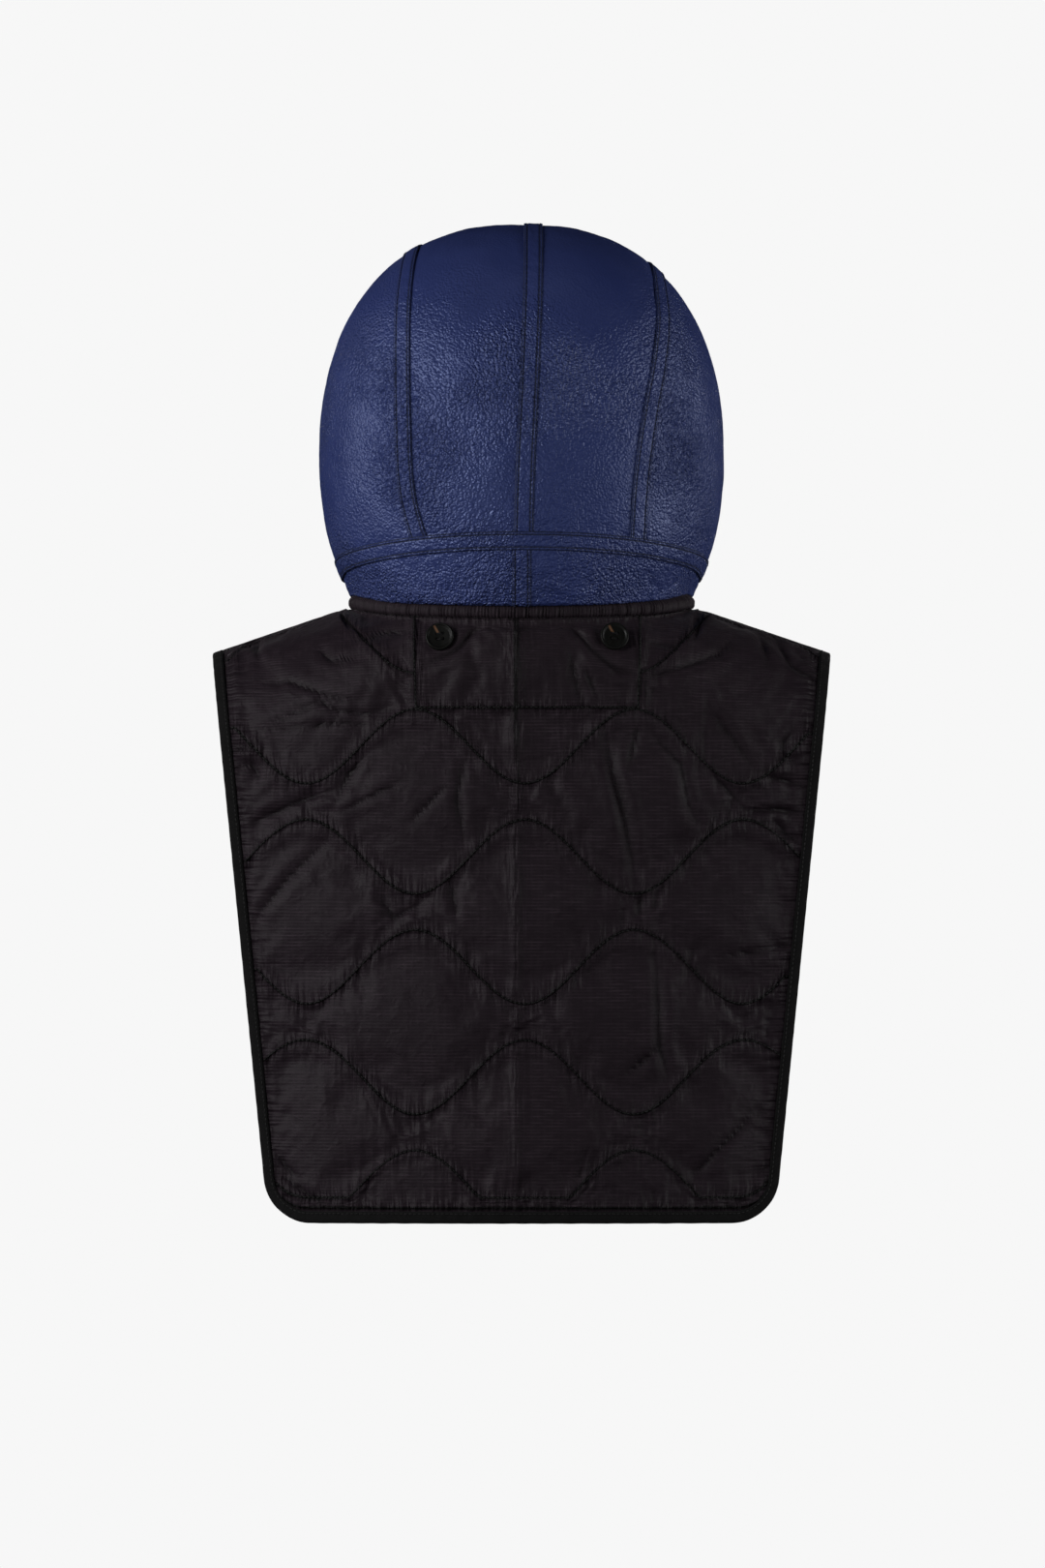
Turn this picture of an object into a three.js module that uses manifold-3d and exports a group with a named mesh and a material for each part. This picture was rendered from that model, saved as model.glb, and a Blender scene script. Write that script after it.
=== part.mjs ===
// Shearling hood sewn to a quilted bib by a gathered neck roll, in millimetres, +Z up.
// The back of the hood faces -Y and the face opening faces +Y.
// The origin is the inside top of the crown, where a head carries the hood.

import * as THREE from "three";
import Module from "manifold-3d";
import { mergeVertices } from "three/addons/utils/BufferGeometryUtils.js";

const wasm = await Module();
wasm.setup();

// Driving dimensions of the hood
const hoodHalfWidth = 135.9;
const crownRise = 160;
const lowerReach = 171;
const neckDrop = 256.8;
const backDepth = 119;
const frontDepthAtNeck = 119;
const frontDepthAtCrown = 230;
const faceEdgeAtCrown = 102;
const faceEdgeAtChin = 97;
const wallThickness = 7;
const seamGap = 0.3;

// Driving dimensions of the raised strips that cover the seams
const stripWidth = 12.6;
const stripThickness = 1.3;
const seatClearance = 0.5;
const sideStripShort = 1.3;

// Driving dimensions of the neck roll
const rollHeight = 7.1;
const rollDepth = 10;
const rollProud = 0.8;

// Driving dimensions of the bib
const shoulderHalfWidth = 206.3;
const hemHalfWidth = 168.6;
const shoulderDrop = 31.1;
const bibLength = 403.3;
const hemCornerRadius = 27.2;
const shoulderRound = 65;
const backReach = 112;
const frontReach = 106;
const reachLostAtEdge = 0.33;
const quiltThickness = 3.2;
const puffHeight = 5;
const flatBorder = 9;
const bibNeckInset = 1;
const leastBand = 7;
const puffFullness = 0.7;

// Driving dimensions of the quilting waves
const wavePeriod = 146;
const waveAmplitude = 24.7;
const waveSpacing = 73.7;
const firstWaveBelowNeck = 20;
const waveMiddle = 2;
const waveCount = 6;

// Driving dimensions of the edge binding
const bindingWidth = 8;
const bindingThickness = 1;
const bindingClearance = 0.45;

// Driving dimensions of the buttons
const buttonRadius = 9.75;
const buttonThickness = 3.4;
const buttonRim = 2.1;
const buttonDish = 0.9;
const holeRadius = 1;
const holeSpread = 1.9;
const buttonsBelowNeck = 14.6;
const buttonFoot = 0.8;
const buttonEdge = 0.45;
const buttonBevel = 0.25;
const buttonLean = 0.5;
const clothFallUnderButton = 0.9;
const buttonPlaces = [
  { name: "button_left", across: -54 },
  { name: "button_right", across: 61.4 },
];

// Seams over the hood: degrees round from straight up towards the back, share of the half width
const centreSeam = [
  { around: -50, across: 0.058 },
  { around: 0, across: 0.058 },
  { around: 35, across: 0.056 },
  { around: 65, across: 0.038 },
  { around: 90, across: 0.019 },
  { around: 115, across: 0.008 },
  { around: 140, across: 0.002 },
];
const leftSeam = [
  { around: -50, across: -0.49 },
  { around: 0, across: -0.536 },
  { around: 19, across: -0.564 },
  { around: 36, across: -0.585 },
  { around: 62, across: -0.588 },
  { around: 90, across: -0.579 },
  { around: 103, across: -0.562 },
  { around: 113, across: -0.526 },
  { around: 122, across: -0.48 },
];
const rightSeam = [
  { around: -50, across: 0.61 },
  { around: 0, across: 0.665 },
  { around: 20, across: 0.687 },
  { around: 35, across: 0.701 },
  { around: 50, across: 0.684 },
  { around: 70, across: 0.64 },
  { around: 90, across: 0.603 },
  { around: 105, across: 0.584 },
  { around: 122, across: 0.571 },
];

// Nape seam and neck edge: degrees from the back round to the front, share of the neck drop
const napeSeam = [
  { azimuth: 0, down: 0.83 },
  { azimuth: 20, down: 0.8335 },
  { azimuth: 40, down: 0.847 },
  { azimuth: 60, down: 0.87 },
  { azimuth: 90, down: 0.905 },
  { azimuth: 120, down: 0.925 },
  { azimuth: 150, down: 0.935 },
  { azimuth: 180, down: 0.938 },
];
const neckEdge = [
  { azimuth: 0, down: 1 },
  { azimuth: 45, down: 0.993 },
  { azimuth: 90, down: 0.974 },
  { azimuth: 135, down: 1.01 },
  { azimuth: 180, down: 1.045 },
];

// Soft dents of the hood: place as shares, depth as a share of the wall, reach of the half width
const dents = [
  { across: 0.87, down: 0.96, depth: 0.6, reach: 0.13 },
  { across: 0.62, down: 0.96, depth: 0.35, reach: 0.14 },
  { across: -0.84, down: 0.94, depth: 0.35, reach: 0.14 },
  { across: -0.3, down: 0.55, depth: 0.3, reach: 0.16 },
  { across: 0.32, down: 0.5, depth: 0.25, reach: 0.18 },
  { across: -0.1, down: 0.16, depth: 0.2, reach: 0.18 },
];

// Main folds of the back bib: ends as shares of the shoulder width and of the bib length
const folds = [
  { fromAcross: 0.278, fromDown: 0.19, toAcross: 0.36, toDown: 0.45, depth: 0.55, reach: 0.03 },
  { fromAcross: -0.59, fromDown: 0.37, toAcross: -0.86, toDown: 0.52, depth: -0.4, reach: 0.045 },
  { fromAcross: 0.61, fromDown: 0.27, toAcross: 0.72, toDown: 0.33, depth: -0.4, reach: 0.04 },
  { fromAcross: -0.86, fromDown: 0.2, toAcross: -0.43, toDown: 0.17, depth: 0.4, reach: 0.035 },
  { fromAcross: 0.42, fromDown: 0.54, toAcross: 0.47, toDown: 0.76, depth: 0.4, reach: 0.04 },
  { fromAcross: -0.18, fromDown: 0.24, toAcross: -0.43, toDown: 0.4, depth: 0.35, reach: 0.04 },
  { fromAcross: 0.75, fromDown: 0.81, toAcross: 0.54, toDown: 0.92, depth: 0.4, reach: 0.035 },
];

// Counts of cells, so that seams that meet share their points
const cellsAlong = 18;
const cellsAcrossCrown = 6;
const cellsAcrossSide = 9;
const cellsUnderFace = 4;
const cellsDownNeck = 2;
const cellsAlongNeckStrip = 3;
const cellsAroundRoll = 21;
const cellsRoundHemCorner = 5;
const cellsAlongHem = 10;
const bindingStride = 4;
const backBibCells = { neck: 6, shoulder: 5, top: 2, firstBand: 4, band: 4, foot: 3 };
const frontBibCells = { neck: 5, shoulder: 3, top: 2, firstBand: 4, band: 2, foot: 2 };

// How closely the points crowd to the chin, and the bib's columns to the side of the neck
const cheekCrowding = 1.6;
const columnCrowding = 0.55;

// Where the puffs start and are full, as shares of the neck ring and of a button's radius
const clearOfRoll = { from: 1.04, to: 1.18 };
const clearOfButton = { from: 1.2, to: 2.4 };

// Materials
const leather = new THREE.MeshStandardMaterial({ color: 0x26306a, roughness: 0.45, metalness: 0 });
const ripstop = new THREE.MeshStandardMaterial({ color: 0x241e23, roughness: 0.55, metalness: 0 });
const tape = new THREE.MeshStandardMaterial({ color: 0x101010, roughness: 0.85, metalness: 0 });
const horn = new THREE.MeshStandardMaterial({ color: 0x151614, roughness: 0.3, metalness: 0 });

const hoodTop = wallThickness;
const widestLevel = hoodTop - crownRise;
const core = new THREE.Vector3(0, 0, widestLevel);
const crownSquareness = 2.35;
const lowerSquareness = 2;
const depthSquareness = 2.2;
const radians = Math.PI / 180;

// Reads a column of a table at a key, along a smooth curve through its rows
function readTable(table, key, column, at) {
  let row = 0;
  while (row < table.length - 2 && table[row + 1][key] < at) {
    row += 1;
  }
  const low = table[row];
  const high = table[row + 1];
  const span = high[key] - low[key];
  const slopeAt = (index) => {
    if (key === "azimuth" && (index === 0 || index === table.length - 1)) {
      return 0;
    }
    const before = table[Math.max(index - 1, 0)];
    const after = table[Math.min(index + 1, table.length - 1)];
    return (after[column] - before[column]) / (after[key] - before[key]);
  };
  const t = THREE.MathUtils.clamp((at - low[key]) / span, 0, 1);
  const rise = (high[column] - low[column]) * t * t * (3 - 2 * t);
  const leave = slopeAt(row) * span * t * (1 - t) * (1 - t);
  const arrive = slopeAt(row + 1) * span * t * t * (1 - t);
  return low[column] + rise + leave - arrive;
}

// Halves an interval until the rising function crosses the target
function solve(rising, target, low, high) {
  let below = low;
  let above = high;
  for (let step = 0; step < 50; step += 1) {
    const middle = (below + above) / 2;
    if (rising(middle) < target) {
      below = middle;
    } else {
      above = middle;
    }
  }
  return (below + above) / 2;
}

// Level of a place in the hood's form: 1 on the leather, less inside
function hoodLevel(place) {
  const up = place.z - widestLevel;
  const rise = up > 0 ? crownRise : lowerReach;
  const power = up > 0 ? crownSquareness : lowerSquareness;
  const wide = Math.abs(place.x / hoodHalfWidth) ** power;
  const high = Math.abs(up / rise) ** power;
  const slope = up / Math.max(Math.hypot(place.x, place.y, up), 1e-9);
  const forward = THREE.MathUtils.smoothstep(slope, -0.6, 0);
  const front = THREE.MathUtils.lerp(frontDepthAtNeck, frontDepthAtCrown, forward);
  const depth = place.y < 0 ? backDepth : front;
  return (wide + high) ** (depthSquareness / power) + Math.abs(place.y / depth) ** depthSquareness;
}

function onHood(place) {
  const direction = place.clone().sub(core);
  const scale = hoodLevel(place) ** (-1 / depthSquareness);
  return direction.multiplyScalar(scale).add(core);
}

function hoodNormal(place) {
  const step = 0.05;
  const slopeAlong = (axis) => {
    const ahead = place.clone();
    const behind = place.clone();
    ahead[axis] += step;
    behind[axis] -= step;
    return hoodLevel(ahead) - hoodLevel(behind);
  };
  return new THREE.Vector3(slopeAlong("x"), slopeAlong("y"), slopeAlong("z")).normalize();
}

// Moves a place on the smooth form into its dents, then by a distance out of the leather
function liftFromHood(place, distance) {
  let sink = 0;
  for (const dent of dents) {
    const across = place.x - dent.across * hoodHalfWidth;
    const down = place.z - hoodTop + dent.down * neckDrop;
    const reach = dent.reach * hoodHalfWidth;
    const behind = THREE.MathUtils.smoothstep(-place.y, -reach, reach);
    const away = (across * across + down * down) / (reach * reach);
    sink += dent.depth * wallThickness * Math.exp(-away) * behind;
  }
  return place.clone().addScaledVector(hoodNormal(place), distance - sink);
}

// Place of a lengthwise seam at an angle round the hood
function seamPoint(seam, around) {
  const across = readTable(seam, "around", "across", around) * hoodHalfWidth;
  const angle = around * radians;
  const at = (reach) => {
    return new THREE.Vector3(across, -reach * Math.sin(angle), widestLevel + reach * Math.cos(angle));
  };
  return at(solve((reach) => hoodLevel(at(reach)), 1, 0, 3 * lowerReach));
}

// Place of a line round the neck at an angle from the back
function ringPoint(line, azimuth, side, lower = 0) {
  const level = hoodTop - readTable(line, "azimuth", "down", azimuth) * neckDrop - lower;
  const angle = azimuth * radians;
  const at = (reach) => {
    return new THREE.Vector3(side * reach * Math.sin(angle), -reach * Math.cos(angle), level);
  };
  return at(solve((reach) => hoodLevel(at(reach)), 1, 0, 3 * hoodHalfWidth));
}

const chinLevel = hoodTop - napeSeam[napeSeam.length - 1].down * neckDrop;

function faceEdgeDepth(level) {
  const share = (hoodTop - level) / (hoodTop - chinLevel);
  return THREE.MathUtils.lerp(faceEdgeAtCrown, faceEdgeAtChin, share);
}

// Place of the face edge at an angle from straight up
function facePoint(angle) {
  const at = (reach) => {
    const level = widestLevel + reach * Math.cos(angle);
    return new THREE.Vector3(reach * Math.sin(angle), faceEdgeDepth(level), level);
  };
  return at(solve((reach) => hoodLevel(at(reach)), 1, 0, 3 * lowerReach));
}

function faceAngle(place) {
  return Math.atan2(place.x, place.z - widestLevel);
}

// Angle round the hood where a seam leaves at the face edge
function seamStart(seam) {
  const short = (around) => {
    const place = seamPoint(seam, around);
    return faceEdgeDepth(place.z) - place.y;
  };
  return solve(short, 0, -50, 0);
}

function azimuthOf(place) {
  return Math.atan2(Math.abs(place.x), -place.y) / radians;
}

// Angle round the hood where a seam comes down to the nape seam
function seamEnd(seam) {
  const past = (around) => {
    const place = seamPoint(seam, around);
    const level = hoodTop - readTable(napeSeam, "azimuth", "down", azimuthOf(place)) * neckDrop;
    return level - place.z;
  };
  return solve(past, 0, 60, 135);
}

// Angle round the neck where the nape seam meets the face edge
const chinAzimuth = solve((azimuth) => {
  const place = ringPoint(napeSeam, azimuth, 1);
  return place.y - faceEdgeDepth(place.z);
}, 0, 90, 180);

function steps(count, from, to) {
  return Array.from({ length: count + 1 }, (_, index) => from + ((to - from) * index) / count);
}

// Signed volume of a closed set of triangles
function volumeOf(points, triangles) {
  let volume = 0;
  for (let index = 0; index < triangles.length; index += 3) {
    const [a, b, c] = [0, 1, 2].map((corner) => points[triangles[index + corner]]);
    volume += a.dot(b.clone().cross(c)) / 6;
  }
  return volume;
}

// Closed body from points and triangles, turned so that its faces point out
function closedBody(points, triangles) {
  const facing = volumeOf(points, triangles) > 0 ? triangles : triangles.slice().reverse();
  const geometry = new THREE.BufferGeometry();
  const flat = points.flatMap((point) => [point.x, point.y, point.z]);
  geometry.setAttribute("position", new THREE.Float32BufferAttribute(flat, 3));
  geometry.setIndex(facing);
  geometry.computeVertexNormals();
  return geometry;
}

// Wall between an outer and an inner grid of points with the same rows and columns
function wallBetween(outer, inner) {
  const rows = outer.length;
  const columns = outer[0].length;
  const points = [...outer.flat(), ...inner.flat()];
  const triangles = [];
  const quad = (a, b, c, d) => {
    if (points[a].distanceTo(points[c]) < points[b].distanceTo(points[d])) {
      triangles.push(a, b, c, a, c, d);
    } else {
      triangles.push(a, b, d, b, c, d);
    }
  };
  const outerAt = (row, column) => row * columns + column;
  const innerAt = (row, column) => rows * columns + outerAt(row, column);
  for (let row = 0; row < rows - 1; row += 1) {
    for (let column = 0; column < columns - 1; column += 1) {
      quad(
        outerAt(row, column),
        outerAt(row, column + 1),
        outerAt(row + 1, column + 1),
        outerAt(row + 1, column),
      );
      quad(
        innerAt(row, column),
        innerAt(row + 1, column),
        innerAt(row + 1, column + 1),
        innerAt(row, column + 1),
      );
    }
  }
  const rim = [];
  for (let column = 0; column < columns - 1; column += 1) {
    rim.push([0, column]);
  }
  for (let row = 0; row < rows - 1; row += 1) {
    rim.push([row, columns - 1]);
  }
  for (let column = columns - 1; column > 0; column -= 1) {
    rim.push([rows - 1, column]);
  }
  for (let row = rows - 1; row > 0; row -= 1) {
    rim.push([row, 0]);
  }
  rim.forEach(([row, column], index) => {
    const [nextRow, nextColumn] = rim[(index + 1) % rim.length];
    quad(
      outerAt(nextRow, nextColumn),
      outerAt(row, column),
      innerAt(row, column),
      innerAt(nextRow, nextColumn),
    );
  });
  return closedBody(points, triangles);
}

// Body swept through sections, either a closed loop or one with flat ends
function sweep(sections, isLoop) {
  const size = sections[0].length;
  const points = sections.flat();
  const triangles = [];
  const last = isLoop ? sections.length : sections.length - 1;
  for (let index = 0; index < last; index += 1) {
    const next = (index + 1) % sections.length;
    for (let corner = 0; corner < size; corner += 1) {
      const after = (corner + 1) % size;
      const [a, b] = [index * size + corner, index * size + after];
      const [c, d] = [next * size + after, next * size + corner];
      triangles.push(a, b, c, a, c, d);
    }
  }
  if (!isLoop) {
    const end = (sections.length - 1) * size;
    for (let corner = 1; corner < size - 1; corner += 1) {
      triangles.push(0, corner + 1, corner);
      triangles.push(end, end + corner, end + corner + 1);
    }
  }
  return closedBody(points, triangles);
}

// Shares down a panel, with the last row but one under the edge of the strip at its foot
function sharesDown(count, length) {
  const edge = stripWidth / 2 / length;
  return [...steps(count - 1, 0, 1 - edge), 1];
}

// Grid of hood places between four border lines that share their corners
function patchOnHood(top, bottom, left, right, shares) {
  const columns = top.length - 1;
  return shares.map((v, row) => {
    return top.map((__, column) => {
      const u = column / columns;
      const place = new THREE.Vector3()
        .addScaledVector(top[column], 1 - v)
        .addScaledVector(bottom[column], v)
        .addScaledVector(left[row], 1 - u)
        .addScaledVector(right[row], u)
        .addScaledVector(top[0], -(1 - u) * (1 - v))
        .addScaledVector(top[columns], -u * (1 - v))
        .addScaledVector(bottom[0], -(1 - u) * v)
        .addScaledVector(bottom[columns], -u * v);
      return onHood(place);
    });
  });
}

// Draws the border of a grid in by half a seam gap, so that neighbours stay clear
function drawInBorder(grid) {
  const rows = grid.length;
  const columns = grid[0].length;
  const draw = (row, column, towardRow, towardColumn) => {
    const toward = grid[towardRow][towardColumn].clone().sub(grid[row][column]);
    return toward.setLength(seamGap / 2);
  };
  return grid.map((line, row) => line.map((place, column) => {
    const moved = place.clone();
    if (row === 0) {
      moved.add(draw(row, column, 1, column));
    }
    if (row === rows - 1) {
      moved.add(draw(row, column, rows - 2, column));
    }
    if (column === 0) {
      moved.add(draw(row, column, row, 1));
    }
    if (column === columns - 1) {
      moved.add(draw(row, column, row, columns - 2));
    }
    return moved;
  }));
}

function hoodPanel(top, bottom, left, right, shares) {
  const grid = drawInBorder(patchOnHood(top, bottom, left, right, shares));
  const outer = grid.map((line) => line.map((place) => liftFromHood(place, 0)));
  const inner = grid.map((line) => line.map((place) => liftFromHood(place, -wallThickness)));
  return wallBetween(outer, inner);
}

// Strip laid over a line of hood places, a seat clearance above the leather
function stripOver(line, isLoop) {
  const sections = line.map((place, index) => {
    const lastIndex = line.length - 1;
    const before = line[isLoop ? (index + lastIndex) % line.length : Math.max(index - 1, 0)];
    const after = line[isLoop ? (index + 1) % line.length : Math.min(index + 1, lastIndex)];
    const along = after.clone().sub(before).normalize();
    const side = hoodNormal(place).cross(along).normalize();
    const at = (share, lift) => {
      const moved = place.clone().addScaledVector(side, (share * stripWidth) / 2);
      return liftFromHood(onHood(moved), lift);
    };
    const upper = seatClearance + stripThickness;
    return [
      at(-1, seatClearance),
      at(0, seatClearance),
      at(1, seatClearance),
      at(1, upper),
      at(0, upper),
      at(-1, upper),
    ];
  });
  return sweep(sections, isLoop);
}

const stripHalf = stripWidth / 2 + seamGap;

// Length of a panel along its seams, taken as a quarter of the way round the hood and the face depth
const seamLength = (Math.PI / 2) * backDepth + faceEdgeAtCrown + crownRise / 2;
const neckHeight = neckDrop * (neckEdge[0].down - napeSeam[0].down);
const panelShares = sharesDown(cellsAlong, seamLength);
const neckPanelShares = sharesDown(cellsDownNeck, neckHeight).map((share) => 1 - share).reverse();

// Points of a seam from the face edge to a distance short of the nape seam
function seamLine(seam, short) {
  const start = seamStart(seam);
  const end = seamEnd(seam) - (short / backDepth) / radians;
  return panelShares.map((share) => seamPoint(seam, THREE.MathUtils.lerp(start, end, share)));
}

const seams = { centre: centreSeam, left: leftSeam, right: rightSeam };
const seamLines = Object.fromEntries(
  Object.entries(seams).map(([name, seam]) => [name, seamLine(seam, 0)]),
);

function lastOf(list) {
  return list[list.length - 1];
}

// Angle where each side seam meets the nape, and where the side panel's lower corner lies
const backAzimuth = {
  left: azimuthOf(lastOf(seamLines.left)),
  right: azimuthOf(lastOf(seamLines.right)),
};
const earAzimuth = 75;

// Angles of the nape seam from the chin back to the ear, closer together near the chin
const cheekAzimuths = panelShares.map((share) => {
  return THREE.MathUtils.lerp(chinAzimuth, earAzimuth, share ** cheekCrowding);
});

function napeLine(side, azimuths) {
  return azimuths.map((azimuth) => ringPoint(napeSeam, azimuth, side));
}

function crownPanel(name, side) {
  const middle = seamLines.centre;
  const edge = seamLines[name];
  const top = steps(cellsAcrossCrown, faceAngle(middle[0]), faceAngle(edge[0])).map(facePoint);
  const reach = side * azimuthOf(lastOf(middle));
  const bottom = steps(cellsAcrossCrown, reach, backAzimuth[name]).map((azimuth) => {
    return ringPoint(napeSeam, azimuth, side);
  });
  bottom[0] = lastOf(middle);
  return hoodPanel(top, bottom, middle, edge, panelShares);
}

function sidePanel(name, side) {
  const seam = seamLines[name];
  const back = napeLine(side, steps(cellsAcrossSide, backAzimuth[name], earAzimuth));
  const under = napeLine(side, cheekAzimuths);
  const chinAngle = faceAngle(under[0]);
  const face = steps(cellsAcrossSide, faceAngle(seam[0]), chinAngle).map(facePoint);
  return hoodPanel(face, back, seam, under, panelShares);
}

// Angles round one side of the neck, from the back middle to the front middle
function neckAzimuths(name) {
  return [
    ...steps(cellsAcrossCrown, 0, backAzimuth[name]),
    ...steps(cellsAcrossSide, backAzimuth[name], earAzimuth).slice(1),
    ...cheekAzimuths.slice().reverse().slice(1),
    ...steps(cellsUnderFace, chinAzimuth, 180).slice(1),
  ];
}

function neckPanel(name, side) {
  const azimuths = neckAzimuths(name);
  const top = azimuths.map((azimuth) => ringPoint(napeSeam, azimuth, side));
  const bottom = azimuths.map((azimuth) => ringPoint(neckEdge, azimuth, side));
  const between = (azimuth) => neckPanelShares.map((share) => {
    const high = ringPoint(napeSeam, azimuth, side);
    const low = ringPoint(neckEdge, azimuth, side);
    return onHood(high.lerp(low, share));
  });
  return hoodPanel(top, bottom, between(0), between(180), neckPanelShares);
}

function napeStrip() {
  const left = neckAzimuths("left").map((azimuth) => ringPoint(napeSeam, azimuth, -1));
  const right = neckAzimuths("right").map((azimuth) => ringPoint(napeSeam, azimuth, 1));
  return stripOver([...left, ...right.slice(1, -1).reverse()], true);
}

function neckStrip() {
  const high = ringPoint(napeSeam, 0, 1);
  const low = ringPoint(neckEdge, 0, 1);
  const height = high.distanceTo(low);
  const line = steps(cellsAlongNeckStrip, stripHalf / height, 1 - seamGap / height).map((share) => {
    return onHood(high.clone().lerp(low, share));
  });
  return stripOver(line, false);
}

// Neck roll: a rounded ring under the hood's neck edge, its outside just proud of the leather
const rollSection = [
  { out: 1, up: 0.5 },
  { out: 0.74, up: 1 },
  { out: -0.74, up: 1 },
  { out: -1, up: 0.5 },
  { out: -1, up: -0.5 },
  { out: -0.74, up: -1 },
  { out: 0.74, up: -1 },
  { out: 1, up: -0.5 },
];

function rollCentre(azimuth, side) {
  const edge = ringPoint(neckEdge, azimuth, side);
  const outward = new THREE.Vector3(edge.x, edge.y, 0).normalize();
  const centre = edge.clone().addScaledVector(outward, rollProud - rollDepth / 2);
  centre.z -= seamGap + rollHeight / 2;
  return { centre, outward };
}

function neckRoll() {
  const ring = [
    ...steps(cellsAroundRoll, 0, 180).map((azimuth) => [azimuth, -1]),
    ...steps(cellsAroundRoll, 180, 0).slice(1, -1).map((azimuth) => [azimuth, 1]),
  ];
  const sections = ring.map(([azimuth, side]) => {
    const { centre, outward } = rollCentre(azimuth, side);
    return rollSection.map(({ out, up }) => {
      const point = centre.clone().addScaledVector(outward, (out * rollDepth) / 2);
      point.z += (up * rollHeight) / 2;
      return point;
    });
  });
  return sweep(sections, true);
}

// Neck edge of the bib, a seat clearance under the neck roll
function bibNeckPoint(azimuth) {
  const edge = ringPoint(neckEdge, azimuth, 1);
  const outward = new THREE.Vector3(edge.x, edge.y, 0).normalize();
  edge.addScaledVector(outward, -bibNeckInset);
  edge.z -= seamGap + rollHeight + seatClearance;
  return edge;
}

const neckSide = bibNeckPoint(90);
const tipLevel = neckSide.z - shoulderDrop;
const hemLevel = bibNeckPoint(0).z - bibLength;
const buttonLevel = hoodTop - neckDrop - rollHeight - buttonsBelowNeck;

// One side of the bib: its columns run down from the neck ring or the shoulder line to the hem
function bibOf(facing) {
  const reach = facing < 0 ? backReach : frontReach;
  const quarter = (depth) => Math.acos(THREE.MathUtils.clamp(1 - depth / shoulderRound, 0, 1));

  // Neck edge point of a column inside the neck
  const neckAt = (across) => {
    const span = facing < 0 ? [0, 90] : [180, 90];
    const share = solve((s) => {
      return bibNeckPoint(THREE.MathUtils.lerp(span[0], span[1], s)).x;
    }, Math.abs(across), 0, 1);
    return bibNeckPoint(THREE.MathUtils.lerp(span[0], span[1], share));
  };

  // Column facts: its top place, the ridge above it and how far the body stands out there
  const column = (across) => {
    const share = across / shoulderHalfWidth;
    const stand = reach * (1 - reachLostAtEdge * share * share);
    if (Math.abs(across) < neckSide.x) {
      const edge = neckAt(across);
      const turn = Math.asin(Math.min(Math.abs(edge.y) / stand, 0.999));
      const ridge = edge.z + shoulderRound * (1 - Math.cos(turn));
      return { across, share, stand, ridge, top: edge.z, turn };
    }
    const run = (Math.abs(across) - neckSide.x) / (shoulderHalfWidth - neckSide.x);
    const ridge = neckSide.z - shoulderDrop * run;
    return { across, share, stand, ridge, top: ridge, turn: 0 };
  };

  const mean = (stand) => (stand + shoulderRound) / 2;
  const arc = (col) => mean(col.stand) * (Math.PI / 2);
  const pathAt = (col, level) => {
    const depth = col.ridge - level;
    if (depth < shoulderRound) {
      return mean(col.stand) * quarter(depth);
    }
    return arc(col) + depth - shoulderRound;
  };
  const place = (col, path) => {
    const turn = Math.min(path / mean(col.stand), Math.PI / 2);
    const straight = Math.max(path - arc(col), 0);
    const level = col.ridge - shoulderRound * (1 - Math.cos(turn)) - straight;
    const taper = THREE.MathUtils.clamp((tipLevel - level) / (tipLevel - hemLevel), 0, 1);
    const halfWidth = THREE.MathUtils.lerp(shoulderHalfWidth, hemHalfWidth, taper);
    const gap = (seamGap / 2) * (1 - Math.sin(turn));
    const out = facing * (col.stand * Math.sin(turn) + gap);
    return new THREE.Vector3(col.share * halfWidth, out, level);
  };

  // Level of the hem under a column, round at the corners
  const hemAt = (across) => {
    const fromEdge = hemHalfWidth * (1 - Math.abs(across) / shoulderHalfWidth);
    const short = Math.max(hemCornerRadius - fromEdge, 0);
    const rise = hemCornerRadius - Math.sqrt(Math.max(hemCornerRadius ** 2 - short ** 2, 0));
    return hemLevel + rise;
  };

  // Level of a stitched wave
  const waveAt = (index, across) => {
    const angle = ((across - waveMiddle) / wavePeriod) * 2 * Math.PI;
    const sign = index % 2 === 0 ? 1 : -1;
    const firstWave = hoodTop - neckDrop - firstWaveBelowNeck;
    return firstWave - waveSpacing * index + sign * waveAmplitude * Math.cos(angle);
  };
  const normalAt = (col, path) => {
    const step = 0.5;
    const ahead = column(Math.min(col.across + step, shoulderHalfWidth));
    const behind = column(Math.max(col.across - step, -shoulderHalfWidth));
    const over = place(ahead, path).sub(place(behind, path));
    const down = place(col, path + step).sub(place(col, Math.max(path - step, 0)));
    return over.cross(down).multiplyScalar(facing < 0 ? -1 : 1).normalize();
  };
  return { facing, column, pathAt, place, hemAt, waveAt, normalAt, arc };
}

const bibs = { back: bibOf(-1), front: bibOf(1) };

// Columns of a bib from its left edge to its right edge
function bibColumns(cells) {
  const half = [];
  for (const t of steps(cells.neck, 0, 1)) {
    half.push(neckSide.x * THREE.MathUtils.lerp(t, Math.sin((t * Math.PI) / 2), columnCrowding));
  }
  half.push(...steps(cells.shoulder, neckSide.x, shoulderHalfWidth - flatBorder).slice(1));
  half.push(shoulderHalfWidth);
  return [...half.slice(1).map((across) => -across).reverse(), ...half];
}

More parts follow.
